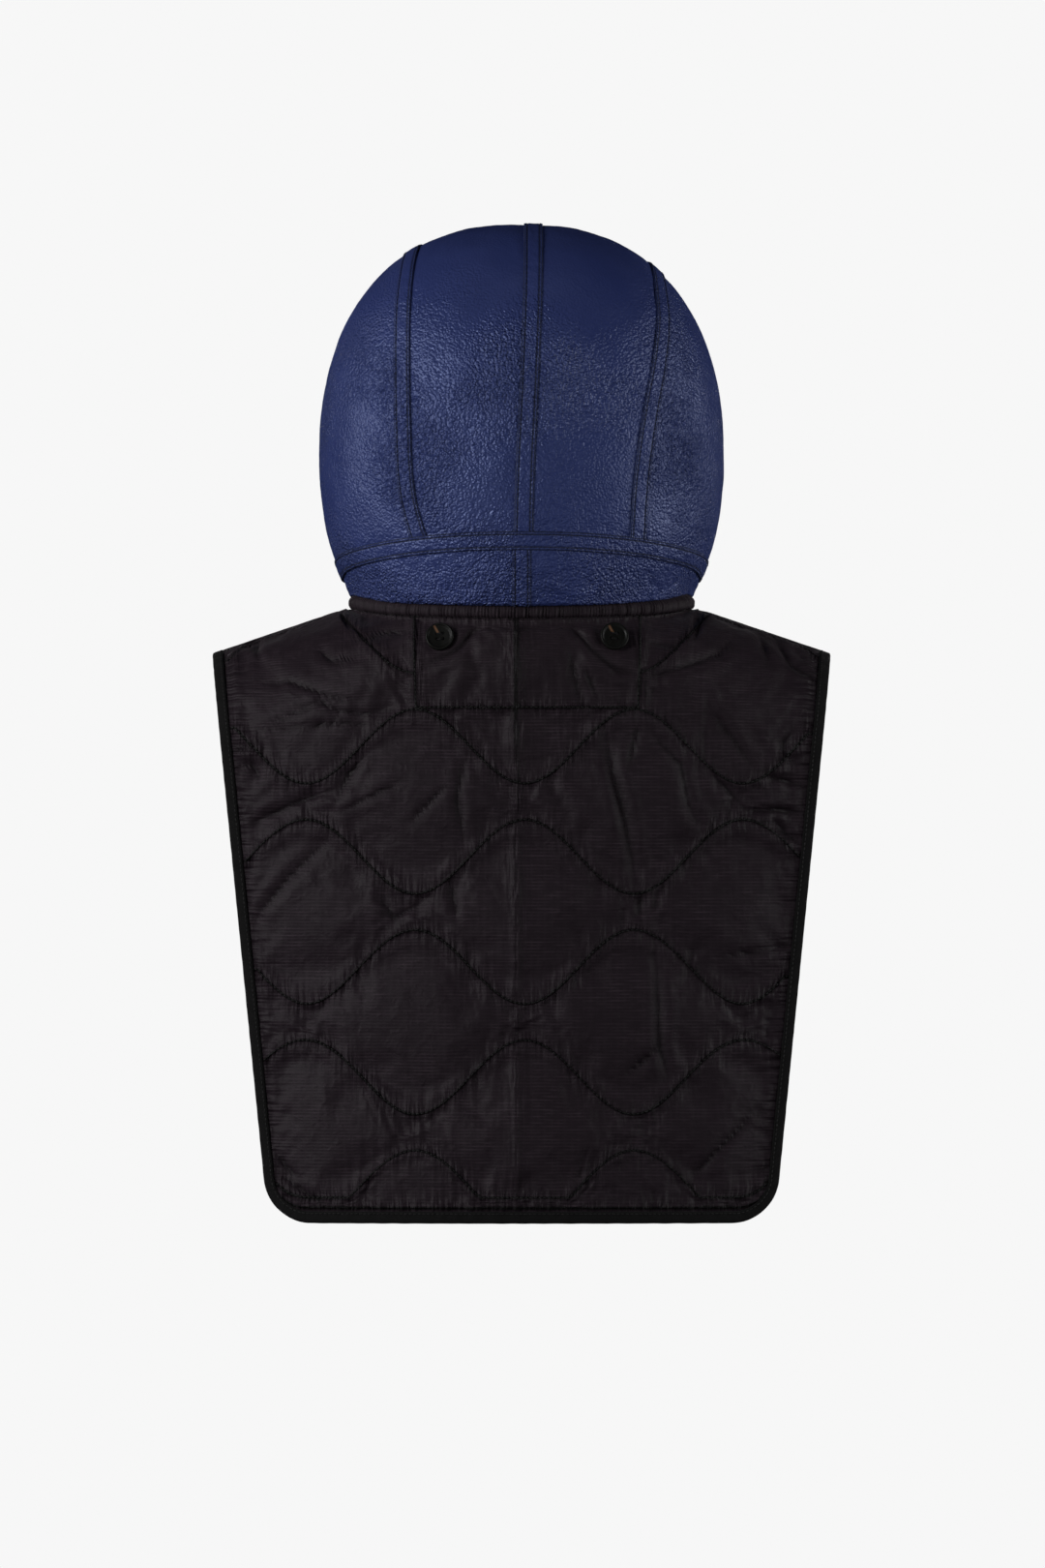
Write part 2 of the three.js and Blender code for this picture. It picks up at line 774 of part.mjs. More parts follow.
// Stations down a column: the borders, the stitched waves and the cells between them
function bibStations(bib, col, cells) {
  const topPath = bib.pathAt(col, col.top);
  const hemPath = bib.pathAt(col, bib.hemAt(col.across));
  const lines = [topPath, topPath + flatBorder];
  const widest = shoulderHalfWidth - flatBorder;
  const guide = bib.column(THREE.MathUtils.clamp(col.across, -widest, widest));
  for (let index = 0; index < waveCount; index += 1) {
    const guess = bib.place(guide, bib.pathAt(guide, bib.waveAt(index, guide.across)));
    const wanted = bib.pathAt(guide, Math.min(bib.waveAt(index, guess.x), guide.top));
    const spare = (waveCount - index) * leastBand + flatBorder;
    lines.push(THREE.MathUtils.clamp(wanted, lastOf(lines) + leastBand, hemPath - spare));
  }
  lines.push(hemPath - flatBorder, hemPath);
  const bands = Array(waveCount - 2).fill(cells.band);
  const counts = [1, cells.top, cells.firstBand, ...bands, cells.foot, 1];
  const stations = [];
  counts.forEach((count, band) => {
    const padded = band > 0 && band < counts.length - 1;
    const height = lines[band + 1] - lines[band];
    const full = padded ? Math.sqrt(Math.min(height / (waveSpacing + waveAmplitude), 1)) : 0;
    steps(count, 0, 1).slice(band === 0 ? 0 : 1).forEach((share) => {
      const puff = full * Math.sin(Math.PI * share) ** puffFullness;
      stations.push({ path: THREE.MathUtils.lerp(lines[band], lines[band + 1], share), puff });
    });
  });
  return stations;
}

// How far a fold moves the cloth at a place, as a share of the puff height
function foldAt(place) {
  let sum = 0;
  for (const fold of folds) {
    const from = new THREE.Vector2(fold.fromAcross * shoulderHalfWidth, -fold.fromDown * bibLength);
    const to = new THREE.Vector2(fold.toAcross * shoulderHalfWidth, -fold.toDown * bibLength);
    const here = new THREE.Vector2(place.x, place.z - neckSide.z);
    const along = to.clone().sub(from);
    const share = THREE.MathUtils.clamp(here.clone().sub(from).dot(along) / along.lengthSq(), 0, 1);
    const away = here.distanceTo(from.addScaledVector(along, share));
    const reach = fold.reach * shoulderHalfWidth;
    sum += fold.depth * Math.exp(-((away / reach) ** 2));
  }
  return sum;
}

// Share of the puff left beside the neck roll and the buttons
function clearOfTrim(place) {
  const ring = Math.hypot(place.x / neckSide.x, place.y / bibNeckPoint(0).y);
  let clear = THREE.MathUtils.smoothstep(ring, clearOfRoll.from, clearOfRoll.to);
  for (const button of buttonPlaces) {
    const away = Math.hypot(place.x - button.across, place.z - buttonLevel) / buttonRadius;
    clear = Math.min(clear, THREE.MathUtils.smoothstep(away, clearOfButton.from, clearOfButton.to));
  }
  return clear;
}

function quiltedBib(bib, cells) {
  const acrossList = bibColumns(cells);
  const outer = [];
  const inner = [];
  for (const across of acrossList) {
    const col = bib.column(across);
    const border = (shoulderHalfWidth - Math.abs(across) - flatBorder) / (2 * flatBorder);
    const inside = THREE.MathUtils.clamp(border, 0, 1);
    const outerLine = [];
    const innerLine = [];
    for (const station of bibStations(bib, col, cells)) {
      const place = bib.place(col, station.path);
      const normal = bib.normalAt(col, station.path);
      const crease = bib.facing < 0 ? 1 - foldAt(place) : 1;
      const clear = clearOfTrim(place);
      const puff = puffHeight * station.puff * inside * crease * clear;
      outerLine.push(place.clone().addScaledVector(normal, puff));
      innerLine.push(place.clone().addScaledVector(normal, -quiltThickness));
    }
    outer.push(outerLine);
    inner.push(innerLine);
  }
  return wallBetween(outer, inner);
}

// Edge of a bib as places with the ways out of the cloth and past its edge
function bibEdge(bib, cells) {
  const frames = [];
  const add = (place, normal, outward) => frames.push({ place, normal, outward });
  const sideFrames = (side) => {
    const col = bib.column(side * shoulderHalfWidth);
    const stations = bibStations(bib, col, cells);
    const list = [];
    stations.forEach((station, index) => {
      const isRound = stations[Math.max(index - 1, 0)].path < bib.arc(col);
      if (isRound || index % bindingStride === 0 || index === stations.length - 1) {
        const place = bib.place(col, station.path);
        const normal = bib.normalAt(col, station.path);
        const next = bib.place(col, station.path + 1);
        const before = bib.place(col, Math.max(station.path - 1, 0));
        const outward = next.sub(before).cross(normal).normalize();
        if (outward.x * side < 0) {
          outward.negate();
        }
        list.push({ place, normal, outward });
      }
    });
    return list;
  };
  const left = sideFrames(-1);
  const right = sideFrames(1);
  left.forEach((frame) => add(frame.place, frame.normal, frame.outward));
  const cornerShare = 1 - hemCornerRadius / hemHalfWidth;
  const cornerAngles = steps(cellsRoundHemCorner, 90, 0).slice(1);
  const hemAcross = [
    ...cornerAngles.map((angle) => -1 + (1 - cornerShare) * (1 - Math.sin(angle * radians))),
    ...steps(cellsAlongHem, -cornerShare, cornerShare).slice(1, -1),
    ...cornerAngles.map((angle) => 1 - (1 - cornerShare) * (1 - Math.sin(angle * radians))).reverse(),
  ];
  for (const share of hemAcross) {
    const col = bib.column(share * shoulderHalfWidth);
    const path = bib.pathAt(col, bib.hemAt(col.across));
    const place = bib.place(col, path);
    const normal = bib.normalAt(col, path);
    const fromEdge = hemHalfWidth * (1 - Math.abs(share));
    const lean = Math.max(hemCornerRadius - fromEdge, 0) / hemCornerRadius;
    const outward = new THREE.Vector3(Math.sign(share) * lean, 0, -Math.sqrt(1 - lean * lean));
    outward.addScaledVector(normal, -outward.dot(normal)).normalize();
    add(place, normal, outward);
  }
  right.reverse().forEach((frame) => add(frame.place, frame.normal, frame.outward));
  return frames;
}

function edgeBinding() {
  const back = bibEdge(bibs.back, backBibCells);
  const front = bibEdge(bibs.front, frontBibCells).reverse();
  const loop = [...back, ...front];
  const c = bindingClearance;
  const outerEdge = c + bindingThickness;
  const innerEdge = outerEdge - bindingWidth;
  const under = -quiltThickness - c;
  const profile = [
    [innerEdge, c + bindingThickness],
    [outerEdge, c + bindingThickness],
    [outerEdge, under - bindingThickness],
    [innerEdge, under - bindingThickness],
    [innerEdge, under],
    [c, under],
    [c, c],
    [innerEdge, c],
  ];
  const sections = loop.map(({ place, normal, outward }) => profile.map(([past, lift]) => {
    return place.clone().addScaledVector(outward, past).addScaledVector(normal, lift);
  }));
  return sweep(sections, true);
}

function toSolid(geometry) {
  const bare = geometry.clone();
  bare.deleteAttribute("normal");
  bare.deleteAttribute("uv");
  const merged = mergeVertices(bare, 1e-4);
  return new wasm.Manifold(new wasm.Mesh({
    numProp: 3,
    vertProperties: new Float32Array(merged.attributes.position.array),
    triVerts: new Uint32Array(merged.index.array),
  }));
}

function toGeometry(solid) {
  const mesh = solid.getMesh();
  const geometry = new THREE.BufferGeometry();
  geometry.setAttribute("position", new THREE.BufferAttribute(mesh.vertProperties, 3));
  geometry.setIndex(new THREE.BufferAttribute(mesh.triVerts, 1));
  geometry.computeVertexNormals();
  return geometry;
}

// Button: a dished disc with a raised rim and four sewing holes, its axis along +Z
function buttonBody() {
  const floor = buttonThickness - buttonDish;
  const bevel = buttonRim * buttonBevel;
  const profile = [
    [0, 0],
    [buttonRadius * buttonFoot, 0],
    [buttonRadius, buttonThickness * buttonEdge],
    [buttonRadius - bevel, buttonThickness],
    [buttonRadius - buttonRim + bevel, buttonThickness],
    [buttonRadius - buttonRim - bevel, floor],
    [0, floor],
  ];
  const disc = new THREE.LatheGeometry(profile.map(([x, y]) => new THREE.Vector2(x, y)), 16);
  disc.rotateX(Math.PI / 2);
  let solid = toSolid(disc);
  for (const [x, y] of [[1, 1], [-1, 1], [-1, -1], [1, -1]]) {
    const hole = new THREE.CylinderGeometry(holeRadius, holeRadius, 3 * buttonThickness, 6);
    hole.rotateX(Math.PI / 2);
    hole.translate(x * holeSpread, y * holeSpread, buttonThickness / 2);
    solid = solid.subtract(toSolid(hole));
  }
  return toGeometry(solid);
}

const group = new THREE.Group();

function addPiece(name, geometry, material) {
  const mesh = new THREE.Mesh(geometry, material);
  mesh.name = name;
  group.add(mesh);
  return mesh;
}

for (const [name, side] of [["left", -1], ["right", 1]]) {
  addPiece(`crown_panel_${name}`, crownPanel(name, side), leather);
  addPiece(`side_panel_${name}`, sidePanel(name, side), leather);
  addPiece(`neck_panel_${name}`, neckPanel(name, side), leather);
  addPiece(`side_strip_${name}`, stripOver(seamLine(seams[name], stripHalf + sideStripShort), false), leather);
}
addPiece("crown_strip", stripOver(seamLine(centreSeam, stripHalf), false), leather);
addPiece("nape_strip", napeStrip(), leather);
addPiece("neck_strip", neckStrip(), leather);
addPiece("neck_roll", neckRoll(), ripstop);
addPiece("back_bib", quiltedBib(bibs.back, backBibCells), ripstop);
addPiece("front_bib", quiltedBib(bibs.front, frontBibCells), ripstop);
addPiece("edge_binding", edgeBinding(), tape);

// Each button is sewn on so that it leans from the slope of the cloth towards the back
for (const { name, across } of buttonPlaces) {
  const bib = bibs.back;
  const col = bib.column(across);
  const path = bib.pathAt(col, buttonLevel);
  const normal = bib.normalAt(col, path);
  const axis = normal.clone().lerp(new THREE.Vector3(0, bib.facing, 0), buttonLean).normalize();
  const rise = buttonRadius * buttonFoot * Math.sin(normal.angleTo(axis));
  const lift = seatClearance + rise - clothFallUnderButton;
  const button = addPiece(name, buttonBody(), horn);
  button.position.copy(bib.place(col, path)).addScaledVector(normal, lift);
  button.quaternion.setFromUnitVectors(new THREE.Vector3(0, 0, 1), axis);
}

export default group;
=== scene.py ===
"""Shearling hood sewn to a quilted bib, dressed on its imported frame.

Every size is in metres. The back of the hood faces -Y and its face opening +Y.
"""

import logging
import math
from dataclasses import dataclass, field
from enum import Enum
from functools import cached_property
from typing import Any, Callable, Optional, Sequence, Union

import bmesh
import bpy
import numpy as np
from mathutils import Matrix, Vector


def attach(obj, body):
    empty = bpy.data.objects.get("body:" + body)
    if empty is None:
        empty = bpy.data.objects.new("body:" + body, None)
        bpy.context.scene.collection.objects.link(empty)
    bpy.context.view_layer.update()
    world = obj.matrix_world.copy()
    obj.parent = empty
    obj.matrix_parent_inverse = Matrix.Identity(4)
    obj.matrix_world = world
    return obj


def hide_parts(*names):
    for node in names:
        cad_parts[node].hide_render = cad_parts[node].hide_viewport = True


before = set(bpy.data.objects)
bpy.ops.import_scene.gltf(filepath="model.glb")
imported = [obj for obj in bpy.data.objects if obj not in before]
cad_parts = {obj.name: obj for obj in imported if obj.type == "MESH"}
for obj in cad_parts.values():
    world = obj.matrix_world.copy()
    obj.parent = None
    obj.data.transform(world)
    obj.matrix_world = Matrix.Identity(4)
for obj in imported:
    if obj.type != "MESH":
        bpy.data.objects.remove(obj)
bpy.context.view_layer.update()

LOG = logging.getLogger("shearling_hood")
MM = 0.001
Table = tuple[tuple[float, float], ...]
Colour = tuple[float, float, float]
Socket = Union[bpy.types.NodeSocket, float]


def lerp(low: Any, high: Any, share: Any) -> Any:
    """Goes from low to high by a share."""
    return low + (high - low) * share


def smoothstep(value: Any, low: float, high: float) -> np.ndarray:
    """Rises smoothly from 0 at low to 1 at high."""
    share = np.clip((value - low) / (high - low), 0.0, 1.0)
    return share * share * (3.0 - 2.0 * share)


def unit(vectors: np.ndarray) -> np.ndarray:
    """Gives each vector a length of 1."""
    return vectors / np.maximum(np.linalg.norm(vectors, axis=-1, keepdims=True), 1e-12)


def dot(one: np.ndarray, other: np.ndarray) -> np.ndarray:
    """Multiplies vectors pair by pair and keeps the last axis."""
    return np.sum(one * other, axis=-1, keepdims=True)


def read_table(table: Table, at: Any, flat_ends: bool = False) -> np.ndarray:
    """Reads a table of keys and values along a smooth curve through its rows.

    Args:
        table: Rows of a key and its value, with rising keys.
        at: Keys to read the table at.
        flat_ends: Whether the curve runs level at both ends.

    Returns:
        The value at each key.
    """
    keys, values = np.array(table).T
    at = np.asarray(at, dtype=float)
    slopes = np.zeros(len(keys))
    slopes[1:-1] = (values[2:] - values[:-2]) / (keys[2:] - keys[:-2])
    if not flat_ends:
        slopes[0] = (values[1] - values[0]) / (keys[1] - keys[0])
        slopes[-1] = (values[-1] - values[-2]) / (keys[-1] - keys[-2])
    row = np.searchsorted(keys[1:-1], at)
    span = keys[row + 1] - keys[row]
    share = np.clip((at - keys[row]) / span, 0.0, 1.0)
    rise = (values[row + 1] - values[row]) * share * share * (3.0 - 2.0 * share)
    leave = slopes[row] * span * share * (1.0 - share) ** 2
    arrive = slopes[row + 1] * span * share * share * (1.0 - share)
    return values[row] + rise + leave - arrive


def solve(rising: Callable[[np.ndarray], np.ndarray], target: Any, low: Any, high: Any) -> np.ndarray:
    """Halves intervals until a rising function crosses its targets.

    Args:
        rising: Function of an array of trial values.
        target: Level that the function has to reach.
        low: Lowest trial values.
        high: Highest trial values.

    Returns:
        The values where the function reaches the target.
    """
    below, above, target = (np.array(x, dtype=float) for x in np.broadcast_arrays(low, high, target))
    for _ in range(46):
        middle = (below + above) / 2.0
        is_short = rising(middle) < target
        below = np.where(is_short, middle, below)
        above = np.where(is_short, above, middle)
    return (below + above) / 2.0


def along_line(points: np.ndarray, spacing: float, *others: np.ndarray) -> list[np.ndarray]:
    """Places points evenly along a line.

    Args:
        points: Points of the line in order.
        spacing: Wanted distance between the new points.
        others: Further facts of the points, spaced the same way.

    Returns:
        The new points, then each further fact at them.
    """
    run = np.concatenate([[0.0], np.cumsum(np.linalg.norm(np.diff(points, axis=0), axis=1))])
    count = max(int(round(run[-1] / spacing)), 2)
    at = np.linspace(0.0, run[-1], count + 1)
    return [np.stack([np.interp(at, run, part) for part in fact.T], axis=1) for fact in (points, *others)]


class Ripples:
    """Seeded smooth random waves, about 1 high, for wrinkles and wool."""

    def __init__(self, seed: int, wavelength: float, dimensions: int = 3, spread: float = 0.35) -> None:
        """Draws the waves.

        Args:
            seed: Number that fixes the pattern.
            wavelength: Usual length of a wave.
            dimensions: Number of coordinates that the waves run over.
            spread: Share by which the lengths differ.
        """
        draw = np.random.default_rng(seed)
        count = 28
        ways = draw.normal(size=(count, dimensions))
        ways /= np.linalg.norm(ways, axis=1, keepdims=True)
        lengths = wavelength * (1.0 + spread * draw.uniform(-1.0, 1.0, (count, 1)))
        self.ways = ways * 2.0 * math.pi / lengths
        self.phases = draw.uniform(0.0, 2.0 * math.pi, count)

    def __call__(self, *coordinates: np.ndarray) -> np.ndarray:
        """Gives the height at each place, from one array for each coordinate."""
        total = np.zeros(np.broadcast(*coordinates).shape)
        for way, phase in zip(self.ways, self.phases):
            total += np.cos(sum(part * axis for part, axis in zip(way, coordinates)) + phase)
        return total * math.sqrt(2.0 / len(self.phases))

    def over(self, places: np.ndarray) -> np.ndarray:
        """Gives the height at places in space."""
        return self(places[..., 0], places[..., 1], places[..., 2])


class Recipe:
    """A material being made: its nodes, its links and its shader's own values."""

    def __init__(self, name: str) -> None:
        """Starts a material with a plain shader."""
        self.material = bpy.data.materials.new(name)
        self.material.use_nodes = True
        self.tree = self.material.node_tree
        self.shader = self.tree.nodes["Principled BSDF"]

    def add(self, kind: str, inputs: Optional[dict[str, Any]] = None, **settings: Any) -> bpy.types.Node:
        """Adds a node.

        Args:
            kind: Name of the node's type after ShaderNode.
            inputs: Values or sockets for its inputs, by name or number.
            settings: Its other settings.

        Returns:
            The node.
        """
        node = self.tree.nodes.new("ShaderNode" + kind)
        for name, value in settings.items():
            setattr(node, name, value)
        for name, value in (inputs or {}).items():
            self.feed(node.inputs[name], value)
        return node

    def feed(self, target: bpy.types.NodeSocket, value: Any) -> None:
        """Links a socket into an input, or sets the input to a value."""
        if isinstance(value, bpy.types.NodeSocket):
            self.tree.links.new(value, target)
        else:
            target.default_value = value

    def calc(self, operation: str, one: Socket, other: Socket = 0.0) -> bpy.types.NodeSocket:
        """Works out a number from one or two others."""
        return self.add("Math", {0: one, 1: other}, operation=operation).outputs[0]

    def blend(self, share: Socket, low: Any, high: Any) -> bpy.types.NodeSocket:
        """Mixes two colours by a share."""
        node = self.add("Mix", data_type="RGBA")
        for name, value in (("Factor", share), ("A", low), ("B", high)):
            wanted = "VALUE" if name == "Factor" else "RGBA"
            fits = [s for s in node.inputs if s.name == name and s.type == wanted]
            self.feed(fits[0], value if not isinstance(value, tuple) else (*value, 1.0))
        return next(s for s in node.outputs if s.type == "RGBA")

    def place(self, scale: Colour = (1.0, 1.0, 1.0)) -> bpy.types.NodeSocket:
        """Gives the place on the object, in metres, stretched by a scale."""
        spot = self.add("TexCoord").outputs["Object"]
        return self.add("Mapping", {"Vector": spot, "Scale": scale}).outputs[0]

    def cloth_place(self) -> tuple[bpy.types.NodeSocket, bpy.types.NodeSocket]:
        """Gives the place along and across the cloth, in metres, from the piece's own map."""
        spot = self.add("UVMap", uv_map="cloth").outputs[0]
        parts = self.add("SeparateXYZ", {0: spot})
        return parts.outputs[0], parts.outputs[1]

    def noise(self, place: Socket, scale: float, detail: float = 3.0) -> bpy.types.NodeSocket:
        """Gives soft noise of a number of waves to the metre."""
        return self.add("TexNoise", {"Vector": place, "Scale": scale, "Detail": detail}).outputs[0]

    def mark(self, name: str) -> bpy.types.NodeSocket:
        """Gives a number that the mesh keeps at its vertices."""
        return self.add("Attribute", attribute_name=name).outputs["Fac"]

    def line(self, away: Socket, inner: float, outer: float, most: float = 1.0) -> bpy.types.NodeSocket:
        """Gives a line that is full up to one distance from its middle and gone at another."""
        away = self.calc("ABSOLUTE", away)
        return self.add("MapRange", {0: away, 1: inner, 2: outer, 3: most, 4: 0.0}).outputs[0]

    def fade(self, away: Socket, reach: float) -> bpy.types.NodeSocket:
        """Gives a share that falls away evenly with distance, both in millimetres."""
        return self.calc("POWER", math.exp(-1.0 / reach), away)

    def streaks(self, over: Socket, along: Socket, pitch: float, length: float) -> bpy.types.NodeSocket:
        """Gives soft ridges of a pitch one way and a length the other way."""
        shares = {0: self.calc("DIVIDE", over, pitch), 1: self.calc("DIVIDE", along, length)}
        spot = self.add("CombineXYZ", shares)
        return self.noise(spot.outputs[0], 1.0, 1.0)

    def bump(self, height: Socket, distance: float, strength: float, under: Optional[Socket] = None) -> Any:
        """Turns a height into relief, on top of any relief under it."""
        inputs = {"Height": height, "Distance": distance, "Strength": strength}
        if under is not None:
            inputs["Normal"] = under
        return self.add("Bump", inputs).outputs[0]

    def finish(self, **values: Any) -> bpy.types.Material:
        """Sets the shader's inputs, given with low dashes for spaces, and ends the material."""
        for name, value in values.items():
            self.feed(self.shader.inputs[name.replace("_", " ")], value)
        return self.material


@dataclass(frozen=True)
class LeatherFinish:
    """Smooth navy leather with a fine pebbled grain, with painted shade in the grain's hollows and along the
    strip edges and stitch rows.
    """

    name: str = "navy_leather"
    deep: Colour = (0.0230, 0.0340, 0.1230)
    pale: Colour = (0.0300, 0.0430, 0.1460)
    shade: Colour = (0.0020, 0.0026, 0.0080)
    # Colour of the painted shade in the grain's hollows and along the seams.
    tint: Colour = (0.50, 0.60, 1.00)
    grain: float = 1.8 * MM
    crease: float = 4.6 * MM
    smooth_crown: float = 75.0 * MM
    stitch_inset: float = 2.2

    def make(self) -> bpy.types.Material:
        """Makes the material."""
        r = Recipe(self.name)
        spot = r.place()
        drift = r.noise(spot, 14.0, 2.0)
        wander = r.add("VectorMath", {0: r.add("TexNoise", {"Vector": spot, "Scale": 300.0}).outputs[1],
                                      1: (0.0022, 0.0022, 0.0022)}, operation="MULTIPLY").outputs[0]
        bent = r.add("VectorMath", {0: spot, 1: wander}, operation="ADD").outputs[0]
        pebble = r.add("TexVoronoi", {"Vector": bent, "Scale": 1.0 / self.grain, "Smoothness": 0.35},
                       feature="SMOOTH_F1").outputs["Distance"]
        cracks = r.add("TexVoronoi", {"Vector": bent, "Scale": 1.0 / self.crease},
                       feature="DISTANCE_TO_EDGE").outputs["Distance"]
        lines = r.add("MapRange", {0: cracks, 1: 0.0, 2: 0.14, 3: 0.0, 4: 1.0}).outputs[0]
        patches = {0: r.noise(spot, 13.0, 2.0), 1: 0.40, 2: 0.60, 3: 0.30, 4: 1.0}
        patchy = r.add("MapRange", patches).outputs[0]
        height = r.add("SeparateXYZ", {0: spot}).outputs[2]
        crown = {0: height, 1: -self.smooth_crown, 2: -0.2 * self.smooth_crown, 3: 1.0, 4: 0.08}
        patchy = r.calc("MULTIPLY", patchy, r.add("MapRange", crown).outputs[0])
        relief = r.bump(r.noise(spot, 90.0, 4.0), 1.0 * MM, 0.30)
        relief = r.bump(r.calc("MULTIPLY", lines, patchy), 0.35 * MM, 0.8, relief)
        grain = r.calc("MULTIPLY", r.calc("SUBTRACT", 1.0, pebble), patchy)
        relief = r.bump(grain, 1.7 * MM, 1.0, relief)
        paint = r.blend(r.add("MapRange", {0: drift, 1: 0.35, 2: 0.65}).outputs[0], self.deep, self.pale)
        # Painted shade: the pebble grain's hollows are painted darker, less where the grain is smooth.
        grain_hollow_shade = r.add("MapRange", {0: pebble, 1: 0.30, 2: 0.62, 3: 0.0, 4: 0.20}).outputs[0]
        paint = r.blend(r.calc("MULTIPLY", grain_hollow_shade, patchy), paint, self.shade)
        # Painted shade: dark lines where the strips meet the panels and along the stitch rows, for the shade
        # of the seam creases and stitch grooves.
        inside = r.mark("inside")
        sewn = r.line(r.calc("SUBTRACT", inside, self.stitch_inset), 0.20, 0.70, 0.88)
        edge = r.line(r.calc("SUBTRACT", inside, 0.42), 0.20, 0.42, 0.94)
        seam = r.calc("MAXIMUM", edge, sewn)
        paint = r.blend(seam, paint, self.shade)
        rough = r.add("MapRange", {0: r.noise(spot, 45.0, 4.0), 1: 0.3, 2: 0.7, 3: 0.30, 4: 0.40}).outputs[0]
        rough = r.calc("ADD", rough, r.calc("MULTIPLY", seam, 0.4))
        return r.finish(Base_Color=paint, Roughness=rough, Normal=relief, Specular_IOR_Level=0.62,
                        Specular_Tint=(*self.tint, 1.0))


@dataclass(frozen=True)
class WoolFinish:
    """Short curled wool, matt and dark, with painted shade between the curls and paler curl tops."""

    name: str = "navy_wool"
    deep: Colour = (0.0060, 0.0080, 0.0240)
    pale: Colour = (0.0190, 0.0240, 0.0600)
    curl: float = 2.6 * MM

    def make(self) -> bpy.types.Material:
        """Makes the material."""
        r = Recipe(self.name)
        spot = r.place()
        swirl = r.add("VectorMath", {0: r.add("TexNoise", {"Vector": spot, "Scale": 420.0}).outputs[1],
                                     1: (0.0026, 0.0026, 0.0026)}, operation="MULTIPLY").outputs[0]
        bent = r.add("VectorMath", {0: spot, 1: swirl}, operation="ADD").outputs[0]
        tuft = r.add("TexVoronoi", {"Vector": bent, "Scale": 1.0 / self.curl, "Smoothness": 0.5},
                     feature="SMOOTH_F1").outputs["Distance"]
        fibre = r.noise(bent, 1500.0, 4.0)
        crown = r.calc("SUBTRACT", 1.0, tuft)
        relief = r.bump(crown, 1.3 * MM, 0.8)
        relief = r.bump(fibre, 0.5 * MM, 0.7, relief)
        # Painted light and shade: the curl tops are painted paler and the hollows between them darker.
        paint = r.blend(r.add("MapRange", {0: crown, 1: 0.35, 2: 0.95}).outputs[0], self.deep, self.pale)
        return r.finish(Base_Color=paint, Roughness=0.95, Normal=relief, Specular_IOR_Level=0.12,
                        Sheen_Weight=0.25, Sheen_Roughness=0.5)


